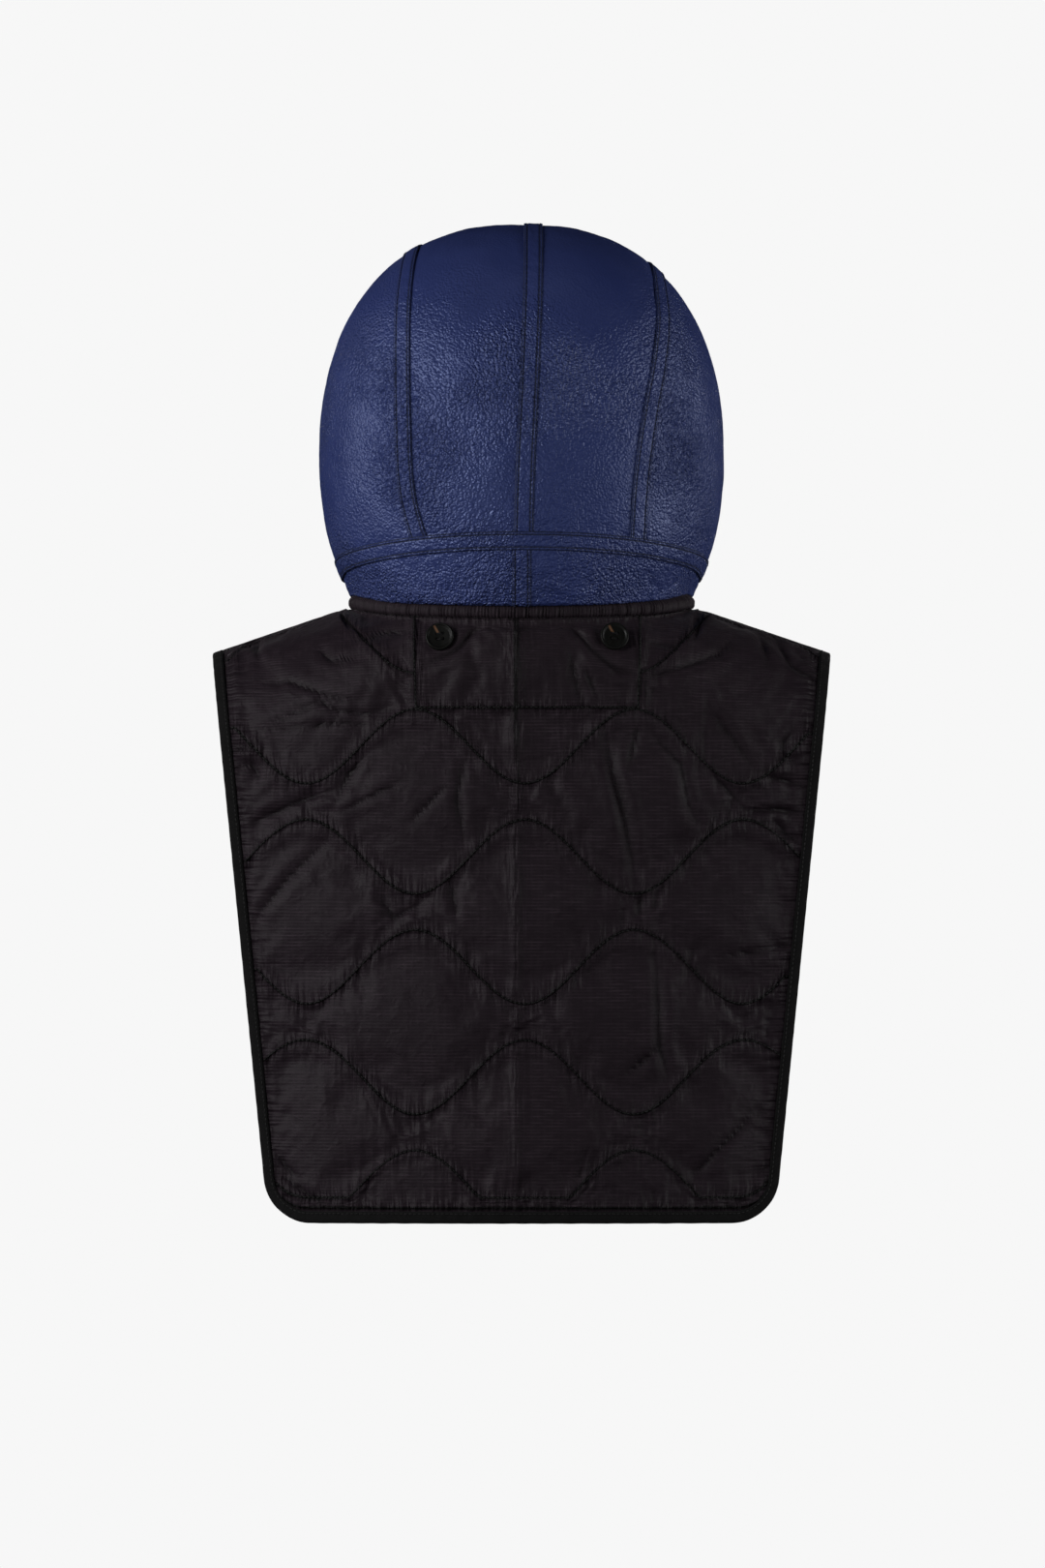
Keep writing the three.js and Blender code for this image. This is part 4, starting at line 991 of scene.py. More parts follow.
    def side_panel(self, name: str, table: Table, side: float) -> bpy.types.Object:
        """Makes the panel between a side seam, the nape seam and the face edge."""
        down, across = 140, 56
        seam = self.seam(table, down)
        shares = np.linspace(0.0, 1.0, down + 1)
        ahead = lerp(self.form.chin_azimuth, self.ear_azimuth, shares**1.6)
        behind = np.linspace(azimuth_of(seam[-1]), self.ear_azimuth, across + 1)
        cheek = self.form.on_ring(self.form.nape, ahead, side)
        back = self.form.on_ring(self.form.nape, behind, side)
        angles = np.linspace(self.form.face_angle(seam[0]), self.form.face_angle(cheek[0]), across + 1)
        grid = self.between(self.form.on_face_edge(angles), back, seam, cheek)
        return self.panel("side_panel_" + name, grid, self.gather_at_nape(grid, down), True)

    def neck_panel(self, name: str, side: float) -> bpy.types.Object:
        """Makes the narrow panel between the nape seam and the neck roll."""
        down, across = 18, 150
        azimuths = np.linspace(0.0, 180.0, across + 1)
        high = self.form.on_ring(self.form.nape, azimuths, side)
        low = self.form.on_ring(self.form.neck, azimuths, side)
        share = np.linspace(0.0, 1.0, down + 1)
        grid = self.form.onto(lerp(high[None], low[None], share[:, None, None]))
        gather = 0.35 + 1.3 * share[:, None] ** 2 + 0.5 * (1 - share[:, None]) ** 3
        gather = np.broadcast_to(gather, grid.shape[:2])
        return self.panel("neck_panel_" + name, grid, gather, False)

    def strip(self, name: str, line: np.ndarray, is_loop: bool, stitches: Stitches) -> bpy.types.Object:
        """Makes a raised strip over a seam and sews both its edges.

        Args:
            name: Name of its solid.
            line: Places of its middle on the form, ending beneath the nape strip.
            is_loop: Whether it closes on itself.
            stitches: Rows that take its stitches.

        Returns:
            The piece.
        """
        middle = self.form.onto(along_line(line, 1.9 * MM)[0])
        along = unit(np.gradient(middle, axis=0))
        if is_loop:
            along[0] = along[-1] = unit(middle[1] - middle[-2])
        side = unit(np.cross(self.form.normal(middle), along))
        share = np.linspace(-1.0, 1.0, 23)
        spots = middle[None] + side[None] * (share[:, None, None] * self.strip_width / 2)
        grid = self.form.onto(spots)
        run = np.arange(len(middle)) * 1.9 * MM
        sewn = 1.0 - self.stitch_inset / (self.strip_width / 2)
        groove = np.exp(-(((np.abs(share) - sewn) / 0.085) ** 2))
        fall = smoothstep(np.abs(share), 0.90, 1.0)
        height = (1.0 + 0.10 * (1 - share**2) - 0.45 * groove - 0.5 * fall)[:, None] * self.strip_thickness
        folds = 0.10 * MM * self.pucker.over(grid) + 0.06 * MM * self.wrinkle.over(grid)
        wavy = 0.10 * MM * np.cos(2 * math.pi * run / stitches.pitch)[None, :] * groove[:, None]
        seat = self.loop_seat if is_loop else self.strip_seat
        beneath = self.loop_seat - 0.10 * MM
        cover = self.strip_width / 2 - self.strip_end
        shown = 1.0 if is_loop else smoothstep(run[-1] - run, cover - 0.4 * MM, cover + 0.9 * MM)[None, :]
        upper = self.form.lift(grid, lerp(beneath, seat + height + folds + wavy, shown))
        lower = self.form.lift(grid, np.full(grid.shape[:2], seat))
        columns, rows = len(middle) - 1, len(share) - 1
        if is_loop:
            upper[:, -1], lower[:, -1] = upper[:, 0], lower[:, 0]
        sheet = SheetMesh(name + "_leather", columns, rows, 1)
        sheet.lay(upper, lower)
        inside = (1.0 - np.abs(share)) * self.strip_width / 2 / MM
        sheet.mark("inside", np.broadcast_to(inside[:, None], grid.shape[:2]))
        if is_loop:
            self.open_ends(sheet)
        close_up(sheet.mesh, 0.01 * MM if is_loop else 0.0)
        for row in (np.argmax(share > -sewn) - 1, len(share) - np.argmax(share > -sewn)):
            stitches.sew(upper[row], self.form.normal(grid[row]), 0.05 * MM, is_loop)
        return add_piece(name + "_leather", sheet.mesh, [Finish.LEATHER], [name])

    @staticmethod
    def open_ends(sheet: SheetMesh) -> None:
        """Takes the end faces off a strip that closes on itself."""
        shape = bmesh.new()
        shape.from_mesh(sheet.mesh)
        shape.faces.ensure_lookup_table()
        corners = (sheet.place[list(face.vertices)] for face in sheet.mesh.polygons)
        ends = [face for face, spots in zip(shape.faces, corners)
                if (spots[:, 0] == 0).all() or (spots[:, 0] == sheet.columns).all()]
        bmesh.ops.delete(shape, geom=ends, context="FACES_ONLY")
        shape.to_mesh(sheet.mesh)
        shape.free()

    def build(self) -> None:
        """Makes the whole hood."""
        stitches = Stitches("hood_stitches")
        for name, table, side in (("left", self.left, -1.0), ("right", self.right, 1.0)):
            self.crown_panel(name, table, side)
            self.side_panel(name, table, side)
            self.neck_panel(name, side)
            self.strip("side_strip_" + name, self.seam(table, 220, self.strip_end), False, stitches)
        self.strip("crown_strip", self.seam(self.centre, 220, self.strip_end), False, stitches)
        azimuths = np.linspace(0.0, 180.0, 200)
        ring = np.concatenate([
            self.form.on_ring(self.form.nape, azimuths, -1.0),
            self.form.on_ring(self.form.nape, azimuths[::-1], 1.0)[1:],
        ])
        self.strip("nape_strip", ring, True, stitches)
        high, low = self.form.on_ring(self.form.nape, 0.0, 1.0), self.form.on_ring(self.form.neck, 0.0, 1.0)
        height = np.linalg.norm(high - low)
        shares = np.linspace(1.0 - self.form.seam_gap / height, self.strip_end / height, 30)
        self.strip("neck_strip", lerp(high[None], low[None], shares[:, None]), False, stitches)
        stitches.finish(Finish.NAVY_THREAD, "leather_blue")


@dataclass
class NeckRoll:
    """The gathered roll of fabric between the hood and the bib."""

    form: HoodForm
    height: float = 7.1 * MM
    depth: float = 10.0 * MM
    proud: float = 0.8 * MM
    gather: float = 2.3 * MM
    gather_depth: float = 0.60 * MM
    around: int = 16
    sag: float = 1.0 * MM
    lip: float = 3.0 * MM
    crest: float = 1.5 * MM

    def build(self) -> bpy.types.Object:
        """Makes the roll."""
        azimuths = np.linspace(0.0, 180.0, 200)
        ring = np.concatenate([
            self.form.on_ring(self.form.neck, azimuths, -1.0),
            self.form.on_ring(self.form.neck, azimuths[::-1], 1.0)[1:],
        ])
        edge = along_line(ring, 0.52 * MM)[0]
        outward = unit(edge * (1.0, 1.0, 0.0))
        centre = edge + outward * (self.proud - self.depth / 2)
        half = (self.height + self.sag) / 2
        centre[:, 2] -= self.form.seam_gap + half
        turn = np.linspace(0.0, 2.0 * math.pi, self.around + 1)[:, None]
        squared = (np.abs(np.cos(turn)) ** 3.2 + np.abs(np.sin(turn)) ** 3.2) ** (-1 / 3.2)
        run = np.arange(len(edge)) * 0.52 * MM
        drift = Ripples(21, 16 * MM, 1)(run)
        phase = 2.0 * math.pi * run / self.gather + 1.3 * drift
        lean = 0.7 * np.sin(turn)
        ribs = self.gather_depth * (0.6 + 0.4 * Ripples(22, 9 * MM, 1)(run)) * np.cos(phase + lean)
        radius = 1.0 - (self.gather_depth - ribs) / half * smoothstep(np.cos(turn), -0.5, 0.3)
        out = np.cos(turn) * squared * radius * self.depth / 2
        up = np.sin(turn) * squared * lerp(1.0, radius, 0.25) * half
        within = smoothstep(-out, 0.2 * self.depth, 0.4 * self.depth)
        up -= self.lip * within * smoothstep(-up, 0.0, 0.6 * half)
        up += self.crest * np.exp(-(((turn - 0.75 * math.pi) / 0.3) ** 2))
        inner = self.form.lift(edge, -self.form.wall) - edge
        wall = -dot(inner, outward)[:, 0]
        past = np.clip(self.depth / 2 - self.proud - out, 0.0, wall)
        up += inner[:, 2] / wall * past * smoothstep(up, 0.0, 0.7 * half)
        grid = centre[None] + outward[None] * out[..., None] + np.array([0.0, 0.0, 1.0]) * up[..., None]
        grid[:, -1], grid[-1] = grid[:, 0], grid[0]
        sheet = SheetMesh("gathered_neck_roll", len(edge) - 1, self.around)
        sheet.lay(grid)
        sheet.map_cloth(np.broadcast_to(turn * half, out.shape), np.broadcast_to(run, out.shape))
        close_up(sheet.mesh, 0.01 * MM)
        piece = add_piece("gathered_neck_roll", sheet.mesh, [Finish.ROLL], ["neck_roll"])
        return piece


class Face(Enum):
    """The two sides of the bib, as the sign of the way they face."""

    BACK = -1.0
    FRONT = 1.0


@dataclass(frozen=True)
class Fold:
    """A fold of the quilt: its line seen from behind, its depth and how far it reaches."""

    line: tuple[tuple[float, float], ...]
    depth: float
    reach: float

    def near(self, x: np.ndarray, z: np.ndarray) -> tuple[np.ndarray, np.ndarray]:
        """Gives how far places lie from the fold's line, and where along it."""
        away, share = np.full(x.shape, 1.0), np.zeros(x.shape)
        for number, (start, end) in enumerate(zip(self.line, self.line[1:])):
            way = np.subtract(end, start)
            along = np.clip(((x - start[0]) * way[0] + (z - start[1]) * way[1]) / (way @ way), 0.0, 1.0)
            found = np.hypot(x - start[0] - along * way[0], z - start[1] - along * way[1])
            share = np.where(found < away, (number + along) / (len(self.line) - 1), share)
            away = np.minimum(found, away)
        return away, share


@dataclass(frozen=True)
class Column:
    """Facts of the bib's columns of cloth, one number for each."""

    across: np.ndarray
    share: np.ndarray
    stand: np.ndarray
    ridge: np.ndarray
    top: np.ndarray


@dataclass
class Bib:
    """One quilted side of the bib, from the neck ring over the shoulder to the hem."""

    face: Face
    form: HoodForm
    folds: tuple[Fold, ...] = ()
    half_width: float = 206.3 * MM
    hem_half_width: float = 168.6 * MM
    shoulder_drop: float = 31.1 * MM
    length: float = 403.3 * MM
    hem_corner: float = 27.2 * MM
    shoulder_round: float = 65.0 * MM
    back_reach: float = 112.0 * MM
    front_reach: float = 106.0 * MM
    reach_lost_at_edge: float = 0.33
    quilt: float = 3.2 * MM
    puff: float = 5.0 * MM
    border: float = 9.0 * MM
    neck_inset: float = 1.0 * MM
    roll_height: float = 7.1 * MM
    roll_clearance: float = 0.5 * MM
    shoulder_gap: float = 0.06 * MM
    wave_period: float = 146.0 * MM
    wave_height: float = 24.7 * MM
    wave_spacing: float = 73.7 * MM
    first_wave: float = 20.0 * MM
    wave_middle: float = 2.0 * MM
    waves: int = 6
    patch: Optional[tuple[float, float, float]] = None
    middle_seam: Optional[float] = None
    pins: tuple[tuple[float, float], ...] = ()
    crest: float = 1.5 * MM
    across_cells: int = 88
    band_cells: tuple[int, ...] = (2, 6, 17, 16, 16, 16, 16, 11, 2)

    @property
    def reach(self) -> float:
        """How far this side stands out from the shoulder line."""
        return self.back_reach if self.face is Face.BACK else self.front_reach

    def neck_point(self, azimuth: Any) -> np.ndarray:
        """Gives the bib's neck edge at an angle from the back."""
        edge = self.form.on_ring(self.form.neck, azimuth, 1.0)
        edge = edge - unit(edge * (1.0, 1.0, 0.0)) * self.neck_inset
        return edge - np.array([0.0, 0.0, self.form.seam_gap + self.roll_height + self.roll_clearance])

    @cached_property
    def neck_side(self) -> np.ndarray:
        """The neck edge's outermost point."""
        return self.neck_point(90.0)

    @cached_property
    def hem_level(self) -> float:
        """Level of the hem."""
        return float(self.neck_point(0.0)[2]) - self.length

    def column(self, across: np.ndarray) -> Column:
        """Gives the facts of columns of cloth at distances from the middle."""
        across = np.asarray(across, dtype=float)
        share = across / self.half_width
        stand = self.reach * (1.0 - self.reach_lost_at_edge * share**2)
        side = self.neck_side
        start = 0.0 if self.face is Face.BACK else 180.0
        within = np.minimum(np.abs(across), side[0])
        found = solve(lambda s: self.neck_point(lerp(start, 90.0, s))[..., 0], within, 0.0 * across, 1.0)
        edge = self.neck_point(lerp(start, 90.0, found))
        turn = np.arcsin(np.minimum(np.abs(edge[..., 1]) / stand, 0.999))
        run = (np.abs(across) - side[0]) / (self.half_width - side[0])
        in_neck = np.abs(across) < side[0]
        shoulder = side[2] - self.shoulder_drop * run
        ridge = np.where(in_neck, edge[..., 2] + self.shoulder_round * (1.0 - np.cos(turn)), shoulder)
        return Column(across, share, stand, ridge, np.where(in_neck, edge[..., 2], shoulder))

    def mean(self, col: Column) -> np.ndarray:
        """Mean radius of the shoulder's curve."""
        return (col.stand + self.shoulder_round) / 2.0

    def path_at(self, col: Column, level: Any) -> np.ndarray:
        """Gives the length of cloth from the ridge down to a level."""
        depth = col.ridge - level
        share = np.clip(1.0 - depth / self.shoulder_round, 0.0, 1.0)
        arc = self.mean(col) * math.pi / 2.0
        return np.where(depth < self.shoulder_round, self.mean(col) * np.arccos(share),
                        arc + depth - self.shoulder_round)

    def at(self, col: Column, path: np.ndarray) -> np.ndarray:
        """Gives places on the bib by column and length of cloth."""
        turn = np.minimum(path / self.mean(col), math.pi / 2.0)
        straight = np.maximum(path - self.mean(col) * math.pi / 2.0, 0.0)
        level = col.ridge - self.shoulder_round * (1.0 - np.cos(turn)) - straight
        tip = self.neck_side[2] - self.shoulder_drop
        taper = np.clip((tip - level) / (tip - self.hem_level), 0.0, 1.0)
        half = lerp(self.half_width, self.hem_half_width, taper)
        gap = self.shoulder_gap / 2.0 * (1.0 - np.sin(turn))
        out = self.face.value * (col.stand * np.sin(turn) + gap)
        return np.stack([col.share * half, out, level], axis=-1)

    def hem_at(self, across: np.ndarray) -> np.ndarray:
        """Gives the hem's level under columns, round at the corners."""
        from_edge = self.hem_half_width * (1.0 - np.abs(across) / self.half_width)
        short = np.maximum(self.hem_corner - from_edge, 0.0)
        return self.hem_level + self.hem_corner - np.sqrt(np.maximum(self.hem_corner**2 - short**2, 0.0))

    def wave_at(self, index: int, across: np.ndarray) -> np.ndarray:
        """Gives a stitched wave's level at distances from the middle."""
        angle = (across - self.wave_middle) / self.wave_period * 2.0 * math.pi
        sign = 1.0 if index % 2 == 0 else -1.0
        first = self.form.top - self.form.neck_drop - self.first_wave
        return first - self.wave_spacing * index + sign * self.wave_height * np.cos(angle)

    def lines(self, col: Column) -> np.ndarray:
        """Gives the cloth lengths of the borders and the stitched waves, by line and column."""
        least = 7.0 * MM
        hem = self.path_at(col, self.hem_at(col.across))
        top = self.path_at(col, col.top)
        found = [top, top + self.border]
        widest = self.half_width - self.border
        guide = self.column(np.clip(col.across, -widest, widest))
        for index in range(self.waves):
            guess = self.at(guide, self.path_at(guide, self.wave_at(index, guide.across)))
            wanted = self.path_at(guide, np.minimum(self.wave_at(index, guess[..., 0]), guide.top))
            spare = (self.waves - index) * least + self.border
            found.append(np.clip(wanted, found[-1] + least, hem - spare))
        return np.stack([*found, hem - self.border, hem])

    def stations(self, col: Column) -> tuple[np.ndarray, np.ndarray, list[int]]:
        """Spaces the rows of cloth between the stitched lines.

        Args:
            col: Columns of the cloth.

        Returns:
            Cloth lengths by row and column, each row's share of the way over its band,
            and the rows that lie on the lines.
        """
        lines = self.lines(col)
        paths, shares, marks = [lines[:1]], [np.zeros((1, lines.shape[1]))], [0]
        for band, count in enumerate(self.band_cells):
            low, high = lines[band], lines[band + 1]
            steps = np.arange(1, count + 1)[:, None]
            share = np.broadcast_to(steps / count, (count, lines.shape[1])).copy()
            path = lerp(low, high, share)
            if self.patch and band == 2:
                left, right, foot = self.patch
                wanted = self.path_at(col, foot)
                knot = np.clip(np.rint((wanted - low) / (high - low) * count), 1, count - 1)
                bent = np.where(steps <= knot, lerp(low, wanted, steps / knot),
                                lerp(wanted, high, (steps - knot) / (count - knot)))
                inside = (col.across >= left - 1e-6) & (col.across <= right + 1e-6)
                path = np.where(inside, bent, path)
                share = np.where(inside, (path - low) / (high - low), share)
            paths.append(path)
            shares.append(share)
            marks.append(marks[-1] + count)
        return np.concatenate(paths), np.concatenate(shares), marks

    def spread_columns(self) -> np.ndarray:
        """Spaces the columns, with one on each side of the patch and of the border."""
        across = np.linspace(-self.half_width, self.half_width, self.across_cells + 1)
        marks = [-self.half_width + self.border, self.half_width - self.border]
        if self.patch:
            marks += [self.patch[0], self.patch[1]]
        if self.middle_seam is not None:
            marks.append(self.middle_seam)
        for mark in marks:
            across[np.argmin(np.abs(across - mark))] = mark
        return across

    def quilt_cloth(self) -> "QuiltCloth":
        """Lays out the cloth before it is filled."""
        col = self.column(self.spread_columns())
        paths, shares, marks = self.stations(col)
        flat = self.at(col, paths)
        return QuiltCloth(self, col, paths, shares, marks, flat)

    def build(self, name: str, stitches: Stitches) -> "QuiltCloth":
        """Makes this side of the bib and sews its quilting."""
        cloth = self.quilt_cloth()
        cloth.fill(name)
        cloth.refine()
        cloth.add(name, stitches)
        return cloth


def normals_of(grid: np.ndarray, sign: float) -> np.ndarray:
    """Gives a grid's ways out, from its rows and columns."""
    return unit(np.cross(np.gradient(grid, axis=1), np.gradient(grid, axis=0)) * sign)


def halve_cells(grid: np.ndarray) -> np.ndarray:
    """Puts a row and a column of places smoothly between those of a grid."""
    for axis in (0, 1):
        lines = np.moveaxis(grid, axis, 0)
        ends = np.concatenate([2 * lines[:1] - lines[1:2], lines, 2 * lines[-1:] - lines[-2:-1]])
        middle = (9.0 * (ends[1:-2] + ends[2:-1]) - ends[:-3] - ends[3:]) / 16.0
        made = np.empty((2 * len(lines) - 1, *lines.shape[1:]))
        made[::2], made[1::2] = lines, middle
        grid = np.moveaxis(made, 0, axis)
    return grid


@dataclass
class QuiltCloth:
    """The outer cloth of a bib side, while its quilting is filled, puckered and sewn."""

    bib: Bib
    col: Column
    paths: np.ndarray
    shares: np.ndarray
    marks: list[int]
    flat: np.ndarray
    slack: float = 0.014
    pressure: float = 2.2
    most_swell: float = 6.0 * MM
    pucker_depth: float = 0.32 * MM
    pucker_reach: float = 7.0 * MM

    def __post_init__(self) -> None:
        """Works out the ways out of the flat cloth."""
        self.out = normals_of(self.flat, self.bib.face.value)
        self.shape = self.flat.copy()

    def is_in_patch(self) -> np.ndarray:
        """Tells which places lie inside the patch at the back of the neck."""
        if not self.bib.patch:
            return np.zeros(self.paths.shape, dtype=bool)
        left, right, foot = self.bib.patch
        across = np.broadcast_to(self.col.across, self.paths.shape)
        return (across >= left - 1e-6) & (across <= right + 1e-6) & (self.flat[..., 2] >= foot - 0.05 * MM)

    def sewn(self) -> np.ndarray:
        """Tells which places are held by stitches or by the border."""
        held = np.zeros(self.paths.shape, dtype=bool)
        held[: self.marks[1] + 1] = True
        held[self.marks[-2]:] = True
        held[:, np.abs(self.col.across) > self.bib.half_width - self.bib.border - 1e-6] = True
        patch = self.is_in_patch()
        for mark in self.marks[2:-2]:
            held[mark] |= ~patch[mark]
        if self.bib.patch:
            left, right, foot = self.bib.patch
            on_side = np.isclose(self.col.across, left) | np.isclose(self.col.across, right)
            held |= patch & (on_side | (np.abs(self.flat[..., 2] - foot) < 0.05 * MM))
        return held

    def start_puff(self) -> np.ndarray:
        """Gives the first swelling of the cloth between its stitches, from 0 to 1."""
        mask = self.sewn()
        puff = np.where(mask, 0.0, 1.0)
        for _ in range(60):
            spread = puff.copy()
            spread[1:-1, 1:-1] = (puff[:-2, 1:-1] + puff[2:, 1:-1] + puff[1:-1, :-2] + puff[1:-1, 2:]) / 4.0
            puff = np.where(mask, 0.0, spread)
        return np.sqrt(puff / max(puff.max(), 1e-9))

    def fill(self, name: str) -> None:
        """Swells the cloth with its filling in a cloth simulation."""
        puff = self.start_puff()
        self.shape = self.flat + self.out * (puff * self.bib.puff * 0.5)[..., None]
        rows, columns = self.paths.shape
        sheet = SheetMesh(name + "_cloth", columns - 1, rows - 1)
        sheet.lay(self.shape)
        cloth = bpy.data.objects.new(name + "_cloth", sheet.mesh)
        bpy.context.scene.collection.objects.link(cloth)
        if dot(np.array(sheet.mesh.polygons[0].normal), self.out[0, 0])[0] < 0:
            sheet.mesh.flip_normals()
        column, row, _ = sheet.place.T
        held = cloth.vertex_groups.new(name="held")
        held.add([int(i) for i in np.flatnonzero(self.sewn()[row, column])], 1.0, "REPLACE")
        self.set_cloth(cloth.modifiers.new("Cloth", "CLOTH"))
        scene = bpy.context.scene
        for step in range(1, 21):
            scene.frame_set(step)
        solved = cloth.evaluated_get(bpy.context.evaluated_depsgraph_get())
        flat = np.empty(len(solved.data.vertices) * 3)
        solved.data.vertices.foreach_get("co", flat)
        moved = np.empty_like(self.shape)
        moved[row, column] = flat.reshape(-1, 3)
        lift = dot(moved - self.flat, self.out)[..., 0]
        swell = (lift.mean() / MM, lift.max() / MM)
        LOG.info("%s: cloth swelled %.1f mm on average, %.1f at most", name, *swell)
        slide = moved - self.flat - self.out * lift[..., None]
        lift = np.clip(lift, -1.0 * MM, self.most_swell)
        self.shape = self.flat + self.out * lift[..., None] + slide
        bpy.data.objects.remove(cloth)
        bpy.data.meshes.remove(sheet.mesh)
        scene.frame_set(1)

    def set_cloth(self, modifier: bpy.types.ClothModifier) -> None:
        """Sets a cloth simulation up as thin nylon blown out by its filling."""
        settings = modifier.settings
        settings.vertex_group_mass = "held"
        settings.quality = 6
        settings.mass = 0.15
        settings.tension_stiffness = settings.compression_stiffness = 20.0
        settings.shear_stiffness = 6.0
        settings.bending_stiffness = 0.06
        settings.shrink_min = -self.slack
        settings.use_pressure = True
        settings.uniform_pressure_force = self.pressure
        settings.effector_weights.gravity = 0.0
        modifier.collision_settings.use_collision = False
        modifier.point_cache.frame_start = 1
        modifier.point_cache.frame_end = 20

    def refine(self) -> None:
        """Doubles the cloth's rows and columns and adds its fine puckers and folds."""
        held = halve_cells(self.sewn().astype(float)[..., None])[..., 0] > 0.95
        across = halve_cells(np.broadcast_to(self.col.across, self.paths.shape)[..., None])[..., 0][0]
        self.col = self.bib.column(across)
        self.shape = halve_cells(self.shape)
        self.flat = halve_cells(self.flat)
        self.paths = halve_cells(self.paths[..., None])[..., 0]
        self.marks = [mark * 2 for mark in self.marks]
        self.out = normals_of(self.flat, self.bib.face.value)
        relief = self.puckers() + self.fold_relief()
        relief = np.where(held, np.minimum(relief, 0.0) * 0.2, relief)
        free = self.free_share()
        lift = self.shape - self.flat + self.out * relief[..., None]
        past_neck = smoothstep(np.abs(across), self.bib.neck_side[0], self.bib.neck_side[0] + 12.0 * MM)
        crest = self.bib.crest * past_neck * np.exp(-((self.paths / (16.0 * MM)) ** 2))
        self.shape = self.flat + lift * free[..., None] + self.out * crest[..., None]

    def free_share(self) -> np.ndarray:
        """Gives how free the cloth is to swell, which is little beneath the buttons."""
        free = np.ones(self.paths.shape)
        for x, z in self.bib.pins:
            away = np.hypot(self.flat[..., 0] - x, self.flat[..., 2] - z)
            free = np.minimum(free, lerp(0.1, 1.0, smoothstep(away, 8.0 * MM, 18.0 * MM)))
        return free

    def from_sewing(self) -> np.ndarray:
        """Gives each place's distance from the nearest row of sewing."""
        across = np.broadcast_to(self.flat[..., 0], self.paths.shape)
        patch = self.is_in_patch()
        nearest = np.abs(self.paths - self.paths[0] - 1.1 * MM)
        for mark in self.marks[2:-1]:
            slope = np.gradient(self.paths[mark]) / np.gradient(across[mark])
            away = np.abs(self.paths - self.paths[mark]) / np.hypot(1.0, slope)
            nearest = np.minimum(nearest, np.where(patch | patch[mark], 1.0, away))
        if self.bib.patch:
            left, right, foot = self.bib.patch
            within = (self.col.across >= left - 1e-6) & (self.col.across <= right + 1e-6)
            fall = np.abs(self.flat[..., 2] - foot)
            nearest = np.where(within, np.minimum(nearest, fall), nearest)
            for side in (left, right):
                away = np.abs(self.col.across - side)
                nearest = np.where(self.flat[..., 2] >= foot - 1e-6, np.minimum(nearest, away), nearest)
        if self.bib.middle_seam is not None:
            seam = int(np.argmin(np.abs(self.col.across - self.bib.middle_seam)))
            away = np.abs(self.col.across - self.col.across[[seam, seam + 1]][:, None]).min(axis=0)
            below = np.maximum(self.bib.patch[2] - self.flat[..., 2], 0.0)
            nearest = np.minimum(nearest, away + 0.55 * MM + below * 0.012)
        return nearest

    def puckers(self) -> np.ndarray:
        """Gives the small puckers that run away from each row of stitches and from the border."""
        across = np.broadcast_to(self.col.across, self.paths.shape)
        total = np.zeros(self.paths.shape)
        outside = ~self.is_in_patch()
        for number, mark in enumerate(self.marks[1:-1]):
            away = self.paths - self.paths[mark]
            for side in (-1.0, 1.0):
                noise = Ripples(100 + 7 * number + int(side), 11.0 * MM, 1, 0.5)
                lean = 0.5 * Ripples(300 + number, 90.0 * MM, 1)(across)
                near = np.maximum(away * side, 0.0) / self.pucker_reach
                fade = near * np.exp(1.0 - near)
                strong = 0.65 + 0.35 * Ripples(500 + number, 60.0 * MM, 1)(across)
                total += noise(across + lean * away) * fade * strong
        edge = (self.bib.half_width - self.bib.border - np.abs(across)) / self.pucker_reach
        near = np.maximum(edge, 0.0)
        for side in (-1.0, 1.0):
            noise = Ripples(int(700 + side), 12.0 * MM, 1, 0.5)
            total += noise(self.paths + 0.3 * across) * near * np.exp(1.0 - near) * (across * side > 0) * 0.9
        rough = 0.25 * Ripples(900, 26.0 * MM, 2)(across, self.paths)
        return (total + rough) * self.pucker_depth * np.where(outside, 1.0, 0.7)

    def fold_relief(self) -> np.ndarray:
        """Gives the main folds of the quilt."""
        total = np.zeros(self.paths.shape)
        for fold in self.bib.folds:
            away, share = fold.near(self.flat[..., 0], self.flat[..., 2])
            beside = (away - 1.9 * fold.reach) / fold.reach
            wave = np.exp(-((away / fold.reach) ** 2)) - 0.5 * np.exp(-(beside**2))
            total -= fold.depth * wave * (0.35 + 0.65 * np.sin(math.pi * np.clip(share, 0.08, 0.92)))
        return total

    def creases(self) -> np.ndarray:
        """Gives how near each place is to a sharp crease, from 0 to 1, fading at the crease's ends."""
        most = np.zeros(self.paths.shape)
        for fold in self.bib.folds:
            if fold.depth > 0.0:
                away, share = fold.near(self.flat[..., 0], self.flat[..., 2])
                near = np.exp(-((away / (2.3 * MM)) ** 2))
                most = np.maximum(most, near * np.sqrt(np.sin(math.pi * share)))
        return most

    def add(self, name: str, stitches: Stitches) -> bpy.types.Object:
        """Adds the quilted piece to the scene, with its lining side, and sews it."""
        rows, columns = self.paths.shape
        inner = self.flat - self.out * self.bib.quilt
        sheet = SheetMesh("quilted_" + name, columns - 1, rows - 1, 1)
        sheet.lay(self.shape, inner)
        level = self.col.ridge - self.bib.shoulder_round
        down = self.paths - self.bib.mean(self.col) * math.pi / 2.0 - level
        sheet.map_cloth(self.flat[..., 0], down)
